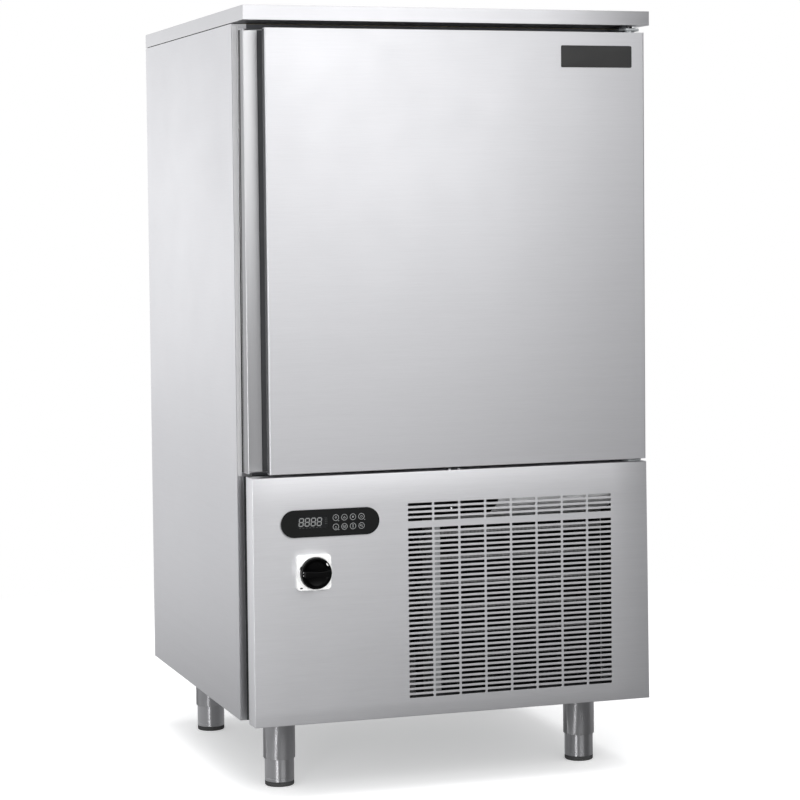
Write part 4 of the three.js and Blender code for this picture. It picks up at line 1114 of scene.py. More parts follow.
@dataclass
class Door:
    """Door with its full-height grip, bare badge plate and gasket."""

    lip_radius: float = 1.5 * MM
    grip_wall: float = 1.5 * MM
    grip_width: float = 32 * MM
    grip_gap: float = 0.1 * MM
    cove_corner: float = 5 * MM
    floor_lean: float = 3.9 * MM
    floor_sink: float = 1.4 * MM
    recess_depth: float = 52 * MM
    lip_setback: float = 27.6 * MM
    side_setback: float = 12.6 * MM
    side_taper: float = 0.0123
    return_sheet: float = 0.3 * MM
    return_depth: float = 12 * MM
    return_setback: float = 2.4 * MM
    return_short: float = 2 * MM
    badge_size: Pair = (140.6 * MM, 40.2 * MM)
    badge_place: Pair = (285.7 * MM, 1341.7 * MM)
    badge_corner: float = 2.5 * MM
    badge_edge: float = 0.5 * MM
    badge_thickness: float = 1.4 * MM

    def dress(self) -> None:
        """Builds the grip and the plate, and dresses the door's other pieces."""
        DOOR_STEEL.on("door_skin")
        LINER_STEEL.on("door_pan")
        CORE_FOAM.on("door_foam")
        GASKET_RUBBER.on("door_gasket")
        # The finger recess's lining is near black as painted shade of the undercut.
        RECESS_SHADE_MOULDING.on("finger_recess")
        self.grip()
        self.badge()

    def grip(self) -> None:
        """Grip profile carried up the door, its side strip in a darker steel as painted shade with a
        near-black strip of painted shadow behind it, and the recess's edge as a near-black strip of painted
        shade.

        The profile is a rounded lip, a cove C(t) = (1-t)^2 A + 2 t (1-t) B + t^2 D, and a flat floor.
        """
        low, high = corners("door_handle")
        front = corners("door_skin")[0][1]
        left, edge = low[0], low[0] + self.grip_width
        lip = front + self.lip_setback
        floor = front + self.recess_depth + self.floor_sink
        turn = np.linspace(math.pi, 1.5 * math.pi, 9)[:, None]
        arc = [left, lip] + self.lip_radius * (1 + np.concatenate([np.cos(turn), np.sin(turn)], axis=1))
        t = np.linspace(0.0, 1.0, 33)[1:, None]
        bend, end = np.array([left + 2 * self.lip_radius, floor]), np.array([left + self.cove_corner, floor])
        cove = (1 - t) ** 2 * arc[-1] + 2 * t * (1 - t) * bend + t**2 * end
        line = np.concatenate([arc, cove, [[edge - self.grip_gap, floor - self.floor_lean]]])
        heights = np.linspace(low[2], high[2], 25)
        profile = self.carried_up(line, heights)
        walled(profile, "grip_profile", self.grip_wall, GRIP_STEEL, "door", ["door_handle"])
        # The side strip takes a darker steel as painted shade, and the strip behind it is near black as
        # painted shadow of the gap.
        for name, behind, finish in (("grip_side", False, GRIP_SIDE_SHADED_STEEL), ("grip_gap_shadow", True, RUBBER_AND_GAP_SHADOW)):
            strip = self.carried_up(np.array([[left, high[1]], [left, lip + self.lip_radius]]), heights)
            split = high[1] - self.side_setback + self.side_taper * (high[2] - strip.points[:, 2])
            back = strip.points[:, 1] > (high[1] + lip) / 2
            strip.points[:, 1] = np.where(back != behind, split, strip.points[:, 1])
            walled(strip, name, self.grip_wall, finish, "door")
        # The recess's edge is a thin near-black strip: painted shade inside the recess.
        size = (self.return_sheet, self.return_depth, high[2] - low[2] - self.return_short)
        y = front + self.return_setback + self.return_depth / 2
        x = edge - self.grip_gap - self.return_sheet / 2
        show(brick(size, (x, y, (low[2] + high[2]) / 2), 0.1 * MM), "recess_edge_shade", RECESS_SHADE_MOULDING, "door")

    @staticmethod
    def carried_up(line: np.ndarray, heights: np.ndarray) -> Surface:
        """Profile (x_i, y_i) carried straight up: P(i, j) = (x_i, y_i, z_j).

        Args:
            line: Points of the profile.
            heights: Heights z_j.

        Returns:
            The open surface.
        """
        x, y = line.T[:, :, None]
        return Surface.grid(np.stack(np.broadcast_arrays(x, y, heights[None, :]), axis=-1))

    def badge(self) -> None:
        """Bare plate with rounded corners and a soft edge, on the door's front."""
        x, z = self.badge_place
        shape = Outline.rounded(*self.badge_size, self.badge_corner, 6)
        rings = quarter_edge(self.badge_edge, -self.badge_thickness) + [(0.0, 0.0)]
        show(stacked(shape, rings, (x, corners("door_skin")[0][1], z)), "badge_plate", BADGE_FACE, "door")


@dataclass
class Hinges:
    """Pivot hinges: the brackets' finish, pin cap, nut and screws."""

    cap_radius: float = 7 * MM
    cap_rise: float = 4.6 * MM
    cap_edge: float = 1 * MM
    cap_place: Pair = (8 * MM, 9 * MM)
    nut_radius: float = 6.4 * MM
    nut_edge: float = 0.6 * MM
    nut_place: Pair = (25 * MM, 9 * MM)
    cover_gap: float = 0.3 * MM
    screw_inset: Pair = (7 * MM, 4 * MM)
    screw_steps: Pair = (14 * MM, 44 * MM)
    screws: Screws = field(default_factory=lambda: Screws(radius=4.2 * MM, rise=2.4 * MM))

    def dress(self) -> None:
        """Dresses both brackets and adds what sits on them."""
        ZINC_SHEET.on("hinge_bracket_top", "hinge_bracket_bottom")
        self.cap_and_nut()
        low, high = corners("hinge_bracket_top")
        self.leg_screws("hinge_screws_top", high, [low[2] + step for step in self.screw_steps])
        high = corners("hinge_bracket_bottom")[1]
        self.leg_screws("hinge_screws_bottom", high, [high[2] - step for step in self.screw_steps])

    def cap_and_nut(self) -> None:
        """Black cap and bright nut on the upper bracket, under the cover."""
        low, high = corners("hinge_bracket_top")
        rise = min(self.cap_rise, corners("top_cover")[0][2] - high[2] - self.cover_gap)
        x, y = low[:2] + self.cap_place
        r, e = self.cap_radius, self.cap_edge
        cap = lathed([(0, 0), (r, 0), (r, rise - e), (r - e, rise), (0, rise)], (x, y, high[2]))
        show(cap, "hinge_cap", DARK_MOULDING, "cabinet")
        x, y = low[:2] + self.nut_place
        e = self.nut_edge
        rings = [(e, 0), (0, e), (0, rise - e), (e, rise)]
        nut = stacked(Outline.circle(self.nut_radius, 6), rings, (x, y, high[2]), Facing.UP)
        show(nut, "hinge_nut", WIRE_STEEL, "cabinet", smooth=20.0)

    def leg_screws(self, name: str, corner: np.ndarray, heights: Sequence[float]) -> None:
        """Screws in a bracket's leg, set in from its outer corner."""
        x, y = corner[:2] - self.screw_inset
        self.screws.show(name, [(x, y, z) for z in heights], Facing.BACK, -1)


# ---- Front panel -----------------------------------------------------------------------------


@dataclass
class FrontPanel:
    """Folded front sheet with two groups of slots, a window behind the fascia and a hole for the switch.

    Right of the grille the sheet widens towards its foot: x + k f (z1 - z) / (z1 - z0), with k from 0 to 1.
    """

    sheet: float = 1.2 * MM
    bend: float = 1.3 * MM
    lip: float = 14 * MM
    slot_size: Pair = (46.5 * MM, 5.2 * MM)
    slot_corner: float = 1.3 * MM
    pitch: Pair = (50.6 * MM, 9.285 * MM)
    columns: int = 8
    first_column: float = -67.4 * MM
    group_tops: Pair = (526.6 * MM, 480.8 * MM)
    group_rows: tuple[int, int] = (4, 34)
    window: tuple[Pair, Pair] = ((-318 * MM, -160 * MM), (485 * MM, 523 * MM))
    flare: float = 4.2 * MM
    shaft_hole: tuple[Pair, Pair] = ((-285 * MM, -258 * MM), (401 * MM, 430 * MM))

    def __post_init__(self) -> None:
        """Takes the plain sheet's box and places the slots' middles: columns across, each group's rows up."""
        self.low, self.high = corners("front_panel")
        self.across = self.first_column + self.pitch[0] * np.arange(self.columns)
        tops_and_rows = zip(self.group_tops, self.group_rows)
        self.groups = [top - self.pitch[1] * np.arange(rows) for top, rows in tops_and_rows]

    def dress(self) -> None:
        """Builds the sheet and stands it in for the plain one."""
        low, high = self.low, self.high
        xs = self.lines(self.across, 0, [low[0] + self.bend, high[0] - self.bend])
        zs = self.lines(np.concatenate(self.groups), 1, [low[2] + self.bend, high[2] - self.bend])
        sheet = Surface.joined(self.face(xs, zs), self.slots(), self.fold(xs, zs))
        grille_edge = self.across[-1] + self.pitch[0] / 2
        outward = np.clip((sheet.points[:, 0] - grille_edge) / (high[0] - grille_edge), 0.0, 1.0)
        sheet.points[:, 0] += outward * self.flare * (high[2] - sheet.points[:, 2]) / (high[2] - low[2])
        # The sheet takes the brighter panel steel as painted light.
        walled(sheet, "slotted_panel", self.sheet, LIT_PANEL_STEEL, "cabinet", ["front_panel"])

    def lines(self, middles: np.ndarray, axis: int, ends: list[float]) -> np.ndarray:
        """Grid lines c - p/2, c - (w/2 - r), c + (w/2 - r) and c + p/2 at each slot's middle c, and more.

        Args:
            middles: Middles of the slots on this axis.
            axis: 0 for lines across, 1 for lines up.
            ends: Where the flat face ends.

        Returns:
            The lines in order, to 0.0001 mm and without doubles; lines across meet the two openings as well.
        """
        inner = self.slot_size[axis] / 2 - self.slot_corner
        steps = np.array([-self.pitch[axis] / 2, -inner, inner, self.pitch[axis] / 2])
        openings = [*self.window[0], *self.shaft_hole[0]] if axis == 0 else []
        return np.unique(np.round(np.concatenate([(middles[:, None] + steps).ravel(), ends, openings]), 7))

    def face(self, xs: np.ndarray, zs: np.ndarray) -> Surface:
        """Flat grid (x_i, front, z_j) without its cells of slots, its window and its shaft hole.

        Args:
            xs: Grid lines across.
            zs: Grid lines up.

        Returns:
            The faces that stay.
        """
        points = np.stack(np.broadcast_arrays(xs[:, None], self.low[1], zs[None, :]), axis=-1)
        whole = Surface.grid(points)
        x = ((xs[1:] + xs[:-1]) / 2)[:, None]
        z = ((zs[1:] + zs[:-1]) / 2)[None, :]
        half_x, half_z = np.array(self.pitch) / 2
        across = (self.across[0] - half_x, self.across[-1] + half_x)
        spans = [(across, (group[-1] - half_z, group[0] + half_z)) for group in self.groups]
        spans += [self.window, self.shaft_hole]
        holes = [(x > left) & (x < right) & (z > foot) & (z < top) for (left, right), (foot, top) in spans]
        return Surface(whole.points, whole.faces[~np.any(holes, axis=0).ravel()])

    def slots(self) -> Surface:
        """One ring for each slot, from its rounded outline to the border of its cell.

        A point's border place is on the cell's side wherever its normal leans that way by more than 0.3.

        Returns:
            All the rings.
        """
        shape = Outline.rounded(*self.slot_size, self.slot_corner, 2)
        cell = np.sign(shape.normals) * np.array(self.pitch) / 2
        border = np.where(np.abs(shape.normals) > 0.3, cell, shape.points)
        rings = carried(np.stack([shape.points, border]), np.zeros(1), ORIGIN, Facing.BACK)
        x, z = np.meshgrid(self.across, np.concatenate(self.groups))
        places = np.stack(np.broadcast_arrays(x.ravel(), self.low[1], z.ravel()), axis=1)
        return Surface.grid(rings, wrap_v=True).at(places)

    def fold(self, xs: np.ndarray, zs: np.ndarray) -> Surface:
        """Folded edge all round: the border P pushed out to P + a d and back to depth h, over two bends.

        Args:
            xs: Grid lines across.
            zs: Grid lines up.

        Returns:
            The four sides and the lip, mitred at their corners.
        """
        left, right, low, high = xs[0], xs[-1], zs[0], zs[-1]
        sides = ((xs[:-1], low), (right, zs[:-1]), (xs[:0:-1], high), (left, zs[:0:-1]))
        border = np.concatenate([np.stack(np.broadcast_arrays(x, z), axis=1) for x, z in sides])
        x, z = border.T
        push = np.stack([(x == right) * 1.0 - (x == left), (z == high) * 1.0 - (z == low)], axis=1)
        bend, turn = self.bend, np.linspace(0.0, math.pi / 2, 5)
        front, back = self.low[1], self.high[1]
        reach = np.concatenate([bend * np.sin(turn), bend * np.cos(turn), [bend - self.lip]])
        depth = np.concatenate([front + bend * (1 - np.cos(turn)), back - bend * (1 - np.sin(turn)), [back]])
        flat = border[None] + reach[:, None, None] * push[None]
        return Surface.grid(carried(flat, depth[:, None], ORIGIN, Facing.BACK), wrap_v=True)


# ---- Controls --------------------------------------------------------------------------------

PRINT_RISE = 0.06 * MM
PRINT_SUNK = 0.05 * MM


def strokes(lines: Sequence[Stroke], at: Triple) -> Surface:
    """Flat rounded strokes printed on a face that looks to the front.

    Args:
        lines: For each stroke its middle u and v, its length and its width in mm, and its angle in degrees.
        at: Place of the origin on the face.

    Returns:
        All the strokes.
    """
    parts = []
    for u, v, length, width, angle in lines:
        shape = Outline.rounded(length * MM, width * MM, min(length, width) * 0.49 * MM, 4)
        turn = math.radians(angle)
        spin = np.array([[math.cos(turn), math.sin(turn)], [-math.sin(turn), math.cos(turn)]])
        moved = Outline(shape.points @ spin + np.array([u, v]) * MM, shape.normals @ spin)
        parts.append(stacked(moved, [(0, -PRINT_RISE), (0, PRINT_SUNK)], at))
    return Surface.joined(*parts)


KEY_SIGNS: tuple[tuple[Stroke, ...], ...] = (
    ((0, 1.4, 3.2, 0.6, 0), (-1.0, -0.3, 3.0, 0.6, -62), (1.0, -0.3, 3.0, 0.6, 62)),
    ((-0.95, 0.1, 3.8, 0.6, 62), (0.95, 0.1, 3.8, 0.6, -62), (0, -1.5, 3.4, 0.6, 0)),
    ((0, 0, 3.8, 1.0, 90), (0, 0, 3.8, 1.0, 30), (0, 0, 3.8, 1.0, -30)),
    ((0, 1.7, 2.4, 0.6, 0), (0, -1.7, 2.4, 0.6, 0), (-1.8, 0, 2.4, 0.6, 90), (1.8, 0, 2.4, 0.6, 90)),
    ((0, 0.3, 1.6, 1.6, 0), (0, -2.4, 4.6, 0.6, 0)),
    ((0, 0.2, 6.6, 0.7, 0), (-1.9, 2.0, 2.0, 0.6, 0), (1.9, 2.0, 2.0, 0.6, 0), (0, -2.0, 4.4, 0.7, 0)),
    ((0, 2.2, 3.0, 0.6, 0), (0, -2.2, 3.0, 0.6, 0), (0, 0, 4.2, 0.8, 78), (0, 0, 4.2, 0.8, -78)),
    ((-0.6, 0.3, 6.2, 0.8, 12), (-1.4, 2.1, 2.6, 0.6, 0), (1.2, -2.0, 3.0, 0.7, 0)),
)


@dataclass
class Controls:
    """Control fascia: display digits, press keys with plain printed signs, and indicator marks in mm."""

    digit_count: int = 4
    digit_height: float = 13.8 * MM
    digit_width: float = 7.6 * MM
    digit_pitch: float = 11.25 * MM
    digit_stroke: float = 1.9 * MM
    digit_slant: float = 0.10
    digit_gap: float = 0.25 * MM
    digits_place: Pair = (-293.6 * MM, 504.7 * MM)
    side_marks: Pair = (-248.6, 510.6)
    side_mark_pitch: Pair = (2.6, 3.4)
    lower_marks: Pair = (-296.0, 494.4)
    lower_mark_pitch: float = 6.3
    lamps: tuple[Pair, ...] = ((-223.6, 504.6), (-174.6, 504.6), (-223.6, 488.6))
    key_edge: float = 0.45 * MM
    ring_radius: float = 5.7 * MM
    ring_stroke: float = 0.75 * MM

    def dress(self) -> None:
        """Dresses the fascia and adds everything on it."""
        FASCIA_FILM.on("control_fascia")
        WINDOW_SMOKE.on("display_window")
        DARK_MOULDING.on("control_box")
        self.digits()
        self.indicators()
        for index, sign in enumerate(KEY_SIGNS, 1):
            self.key(f"key_{index}", f"press_{index}", sign)

    def segment(self, u: float, v: float, length: float, upright: bool) -> Outline:
        """Pointed bar of a digit, slanted: (u + k v, v).

        Args:
            u: Place of its middle across.
            v: Place of its middle up.
            length: Length from point to point.
            upright: Whether it stands.

        Returns:
            The bar's outline.
        """
        a, b = length / 2 - self.digit_gap, self.digit_stroke / 2
        shape = np.array([[a, 0], [a - b, b], [-a + b, b], [-a, 0], [-a + b, -b], [a - b, -b]])
        shape = (shape[:, ::-1] * [1, -1] if upright else shape) + [u, v]
        return Outline.traced(np.stack([shape[:, 0] + self.digit_slant * shape[:, 1], shape[:, 1]], axis=1))

    def digits(self) -> None:
        """Four digits of seven segments each, all drawn."""
        half, width = self.digit_height / 2, self.digit_width
        corner_places = [(u, v) for u in (-width / 2, width / 2) for v in (-half / 2, half / 2)]
        bars = [self.segment(0, v, width, False) for v in (-half, 0, half)]
        bars += [self.segment(u, v, half, True) for u, v in corner_places]
        digit = Surface.joined(*[stacked(bar, [(0, -PRINT_RISE), (0, PRINT_SUNK)], ORIGIN) for bar in bars])
        x, z = self.digits_place
        face = corners("display_window")[0][1]
        places = [(x + k * self.digit_pitch, face, z) for k in range(self.digit_count)]
        show(digit.at(places), "display_digits", DIGIT_PALE, "cabinet")

    def indicators(self) -> None:
        """Faint unlit marks to the right of the digits and below them, and three pale ones on the fascia."""
        (x, z), (step_x, step_z) = self.side_marks, self.side_mark_pitch
        marks = [(x + i * step_x, z - j * step_z, 1.7, 1.1, 0) for j in range(4) for i in range(2)]
        x, z = self.lower_marks
        marks += [(x + self.lower_mark_pitch * k, z, 3.6, 0.8, 0) for k in range(7)]
        faint = strokes(marks, (0, corners("display_window")[0][1], 0))
        show(faint, "display_marks", DIGIT_FAINT, "cabinet")
        dots = [(u, v, 1.9, 1.2, 0) for u, v in self.lamps]
        pale = strokes(dots, (0, corners("control_fascia")[0][1], 0))
        show(pale, "lamp_marks", PRINT_PALE, "cabinet")

    def key(self, node: str, name: str, sign: Sequence[Stroke]) -> None:
        """Round press key with a softened rim, a printed ring and its sign.

        Args:
            node: The key's CAD node, which is its body too.
            name: Name of the piece that stands for it.
            sign: Strokes of the sign, about the key's middle.
        """
        low, high = corners(node)
        x, _, z = middle(node)
        at = (x, low[1], z)
        rings = quarter_edge(self.key_edge, 0.0) + [(0.0, high[1] - low[1])]
        cap = stacked(Outline.circle((high[2] - low[2]) / 2, 40), rings, at)
        show(cap, name, FASCIA_FILM, node, [node])
        outer, inner = self.ring_radius, self.ring_radius - self.ring_stroke
        profile = [(inner, PRINT_SUNK), (inner, -PRINT_RISE), (outer, -PRINT_RISE), (outer, PRINT_SUNK)]
        ring = lathed(profile + profile[:1], at, Facing.BACK, 40)
        show(Surface.joined(ring, strokes(sign, at)), f"{name}_print", PRINT_PALE, node)


@dataclass
class MainSwitch:
    """Rotary isolator: square plate with a raised ring, and a glossy knob with a bar; marks are in mm."""

    plate_size: float = 64 * MM
    plate_corner: float = 7 * MM
    plate_edge: float = 1.6 * MM
    plate_thickness: float = 8 * MM
    plate_mark: Stroke = (-24.6, -27.6, 5.0, 2.6, 0)
    ring_wall: float = 2.6 * MM
    ring_gap: float = 0.4 * MM
    ring_reach: float = 18.0 * MM
    ring_edges: Pair = (0.5 * MM, 0.8 * MM)
    ring_foot: Pair = (0.6 * MM, 0.3 * MM)
    ring_sunk: float = 1.9 * MM
    tick_angle: float = 0.36
    tick: Triple = (6.6, 1.9, 67)
    knob_radius: float = 28.4 * MM
    knob_depth: float = 27.7 * MM
    shaft_radius: float = 6 * MM
    rim_setback: float = 10 * MM
    rim_edge: float = 1.6 * MM
    dish: tuple[Pair, ...] = ((9 * MM, 3.8 * MM), (5 * MM, 2.0 * MM), (3.4 * MM, 0.0))
    dish_depth: float = 4.0 * MM
    bar_half: float = 25.3 * MM
    bar_waist: float = 4.4 * MM
    bar_flare: float = 3.0 * MM
    bar_edge: float = 1.8 * MM
    bar_sunk: float = 4.5 * MM
    mark_lift: float = 0.02 * MM
    knob_marks: tuple[Stroke, ...] = (
        (-24.6, 2.6, 3.0, 1.7, 80),
        (-24.6, -2.4, 3.0, 1.7, 80),
        (19.6, 15.4, 6.0, 2.0, -58),
    )

    def dress(self) -> None:
        """Builds the plate, the knob and their printed marks."""
        GREY_MOULDING.on("switch_body")
        self.plate()
        self.knob()

    def plate(self) -> None:
        """White plate with softened edges, its ring, and two dark marks."""
        x, _, z = middle("switch_plate")
        back = corners("switch_plate")[1][1]
        face = back - self.plate_thickness
        ring_front = corners("switch_knob")[0][1] + self.ring_reach
        shape = Outline.rounded(self.plate_size, self.plate_size, self.plate_corner, 10)
        base = stacked(shape, quarter_edge(self.plate_edge, face) + [(0.0, back)], (x, 0, z))
        inner = self.knob_radius + self.ring_gap
        outer = inner + self.ring_wall
        (near, far), (toe, sole) = self.ring_edges, self.ring_foot
        wall = [(inner, face + self.ring_sunk), (inner, ring_front + near), (inner + near, ring_front)]
        wall += [(outer - far, ring_front), (outer, ring_front + far), (outer + toe, face + sole)]
        ring = lathed(wall + wall[:1], (x, 0, z), Facing.BACK, 72)
        show(Surface.joined(base, ring), "switch_bezel", WHITE_MOULDING, "cabinet", ["switch_plate"])
        reach = (inner + outer) / 2 / MM
        tick = (-reach * math.cos(self.tick_angle), reach * math.sin(self.tick_angle), *self.tick)
        ticks = strokes([tick], (x, ring_front, z))
        marks = Surface.joined(ticks, strokes([self.plate_mark], (x, face, z)))
        show(marks, "switch_bezel_marks", DARK_PRINT_AND_SHADE, "cabinet")

    def knob(self) -> None:
        """Disc with a rolled rim and a dished face, and a waisted grip bar: half width w(u) = a + b u^2.

        At the bar's ends the width falls with the root of 1 - |u|^14.
        """
        x, _, z = middle("switch_knob")
        front, back = (corner[1] for corner in corners("switch_knob"))
        rim, r, e = front + self.rim_setback, self.knob_radius, self.rim_edge
        turn = np.linspace(0, math.pi / 2, 7)
        profile = [(0.0, rim + self.dish_depth)] + [(r - inset, rim + depth) for inset, depth in self.dish]
        profile += [(r - e * (1 - math.sin(t)), rim + e * (1 - math.cos(t))) for t in turn]
        profile += [(r, front + self.knob_depth), (self.shaft_radius, front + self.knob_depth)]
        disc = lathed(profile + [(self.shaft_radius, back), (0.0, back)], (x, 0, z), Facing.BACK, 96)
        u = np.linspace(-1.0, 1.0, 41)
        half = (self.bar_waist + self.bar_flare * u**2) * np.sqrt(np.clip(1 - np.abs(u) ** 14, 0.02, 1))
        top = np.stack([self.bar_half * u, half], axis=1)[::-1]
        shape = Outline.traced(np.concatenate([top, top[::-1][1:-1] * [1, -1]]))
        rings = quarter_edge(self.bar_edge, front, 6) + [(0.0, rim + self.bar_sunk)]
        handle = Surface.joined(disc, stacked(shape, rings, (x, 0, z)))
        show(handle, "switch_handle", KNOB_GLOSS, "main_switch", ["switch_knob"])
        marks = strokes(self.knob_marks, (x, rim - self.mark_lift, z))
        show(marks, "switch_handle_marks", PRINT_WHITE, "main_switch")


# ---- Legs ------------------------------------------------------------------------------------


@dataclass
class Legs:
    """Round adjustable legs: a fixed sleeve, an adjusting foot that slides in it and a rubber pad."""

    edge: float = 0.8 * MM
    sleeve_wall: float = 2.1 * MM
    sleeve_top: float = 7 * MM
    groove_place: float = 6 * MM
    groove_depth: float = 0.4 * MM
    groove_floor: float = 0.8 * MM
    foot_edge: float = 1 * MM
    pad_round: float = 2.6 * MM
    pad_edge: float = 0.4 * MM

    def dress(self) -> None:
        """Builds the three pieces of each leg."""
        for place in ("front_left", "front_right", "rear_left", "rear_right"):
            foot = f"foot_{place}"
            self.turned(f"leg_sleeve_{place}", f"sleeve_{place}", LEG_STEEL, "cabinet", self.sleeve)
            self.turned(f"leg_adjuster_{place}", foot, LEG_STEEL, foot, self.foot)
            self.turned(f"leg_pad_{place}", f"pad_{place}", RUBBER_AND_GAP_SHADOW, foot, self.pad)

    @staticmethod
    def turned(node: str, name: str, finish: Finish, body: str, profile: Profile) -> None:
        """Turned piece in the place of a CAD node.

        Args:
            node: The CAD node that it stands for.
            name: Name of the piece.
            finish: Its finish.
            body: Body that carries it.
            profile: Its profile, from the node's radius and its lowest and highest z.
        """
        low, high = corners(node)
        x, y, _ = middle(node)
        line = profile((high[0] - low[0]) / 2, low[2], high[2])
        show(lathed(line, (x, y, 0), count=96), name, finish, body, [node])

    def sleeve(self, r: float, low: float, top: float) -> list[Pair]:
        """Profile of the tube: open at the bottom, with softened edges.

        Args:
            r: Outer radius.
            low: Lowest z.
            top: Highest z.

        Returns:
            The profile.
        """
        bore, e, ceiling = r - self.sleeve_wall, self.edge, top - self.sleeve_top
        lower = [(bore, low + e), (bore + e, low), (r - e, low), (r - e * 0.3, low + e * 0.3), (r, low + e)]
        profile = lower + [(r, top - e), (r - e, top), (0.0, top), (0.0, ceiling), (bore, ceiling)]
        return profile + profile[:1]

    def foot(self, r: float, low: float, top: float) -> list[Pair]:
        """Profile of the adjusting foot: a bar with a fine groove above its pad.

        Args:
            r: Outer radius.
            low: Lowest z.
            top: Highest z.

        Returns:
            The profile.
        """
        groove, g, e = low + self.groove_place, self.groove_depth, self.foot_edge
        end = groove + g + self.groove_floor
        profile = [(0.0, low), (r - self.edge, low), (r, low + self.edge), (r, groove), (r - g, groove + g)]
        return profile + [(r - g, end), (r, end + g), (r, top - e), (r - e, top), (0.0, top)]

    def pad(self, r: float, low: float, top: float) -> list[Pair]:
        """Profile of the rubber pad: rounded at its lower edge by (R sin t, -R cos t).

        Args:
            r: Outer radius.
            low: Lowest z.
            top: Highest z.

        Returns:
            The profile.
        """
        b, e = self.pad_round, self.pad_edge
        turn = np.linspace(0.0, math.pi / 2, 8)
        lower = [(r - b + b * math.sin(t), low + b - b * math.cos(t)) for t in turn]
        return [(0.0, low)] + lower + [(r, top - e), (r - e, top), (0.0, top)]


# ---- Fans ------------------------------------------------------------------------------------


@dataclass
class Impeller:
    """Axial impeller about a line along Y: a domed cup with twisted, cambered blades.

    A blade's half chord L(s) is a share of the diameter that grows by half and is rounded off at the tip,
    and its camber k is a share of the chord.
    """

    diameter: float
    hub: float
    depth: float
    blades: int = 5
    root_pitch: float = 52.0
    tip_pitch: float = 28.0
    thickness: float = 1.6 * MM
    hub_round: float = 5 * MM
    root_sunk: float = 1.5 * MM
    edge_gap: float = 2.6 * MM
    chord_share: float = 0.14
    camber_share: float = 0.12

    def surface(self, centre: np.ndarray) -> Surface:
        """Hub and blades.

        A blade's point is at radius r(s), chord place c and pitch p(s): around the axis by
        (c L(s) cos p - k (1 - c^2) sin p) / r, and along it by c L(s) sin p + k (1 - c^2) cos p.

        Args:
            centre: Middle of the impeller.

        Returns:
            The whole impeller.
        """
        hub, half, e = self.hub / 2, self.depth / 2, self.hub_round
        turn = np.linspace(0.0, math.pi / 2, 8)
        dome = [(hub - e + e * math.sin(t), -half + e * (1 - math.cos(t))) for t in turn]
        cup = lathed([(0.0, -half), *dome, (hub, half), (0.0, half)], ORIGIN, Facing.BACK, 48)
        s = np.linspace(0.0, 1.0, 19)[:, None]
        c = np.linspace(-1.0, 1.0, 15)[None, :]
        radius = hub - self.root_sunk + (self.diameter / 2 - hub + self.root_sunk) * s
        pitch = np.radians(self.root_pitch + (self.tip_pitch - self.root_pitch) * s)
        chord = self.diameter * self.chord_share * (1 + 0.5 * s) * np.sqrt(np.clip(1 - 0.72 * s**9, 0, 1))
        chord = np.minimum(chord, (half - self.edge_gap) / np.sin(pitch))
        faces = []
        for side in (-0.5, 0.5):
            wall = side * self.thickness * np.sqrt(np.clip(1 - c**6, 0, 1)) * (1 - 0.5 * s)
            lift = self.camber_share * chord * (1 - c**2) + wall
            around = (c * chord * np.cos(pitch) - lift * np.sin(pitch)) / radius
            along = np.clip(c * chord * np.sin(pitch) + lift * np.cos(pitch), -half, half)
            faces.append(np.stack([radius * np.sin(around), along, radius * np.cos(around)], axis=-1))
        strip = np.concatenate([faces[0], faces[1][:, ::-1][:, 1:-1]], axis=1)
        blade = Surface.grid(capped(strip), wrap_v=True)
        spins = turns_about_y(np.arange(self.blades) * 360.0 / self.blades)
        return Surface.joined(cup, blade.turned_by(spins)).at(centre)

    @staticmethod
    def fitted(node: str, name: str, hub: float) -> None:
        """Impeller in the place of a fan's CAD node, which is its body too.

        Args:
            node: The CAD node.
            name: Name of the piece.
            hub: Diameter of its hub.
        """
        low, high = corners(node)
        wheel = Impeller(high[2] - low[2], hub, high[1] - low[1])
        show(wheel.surface(middle(node)), name, FAN_PLASTIC, node, [node])


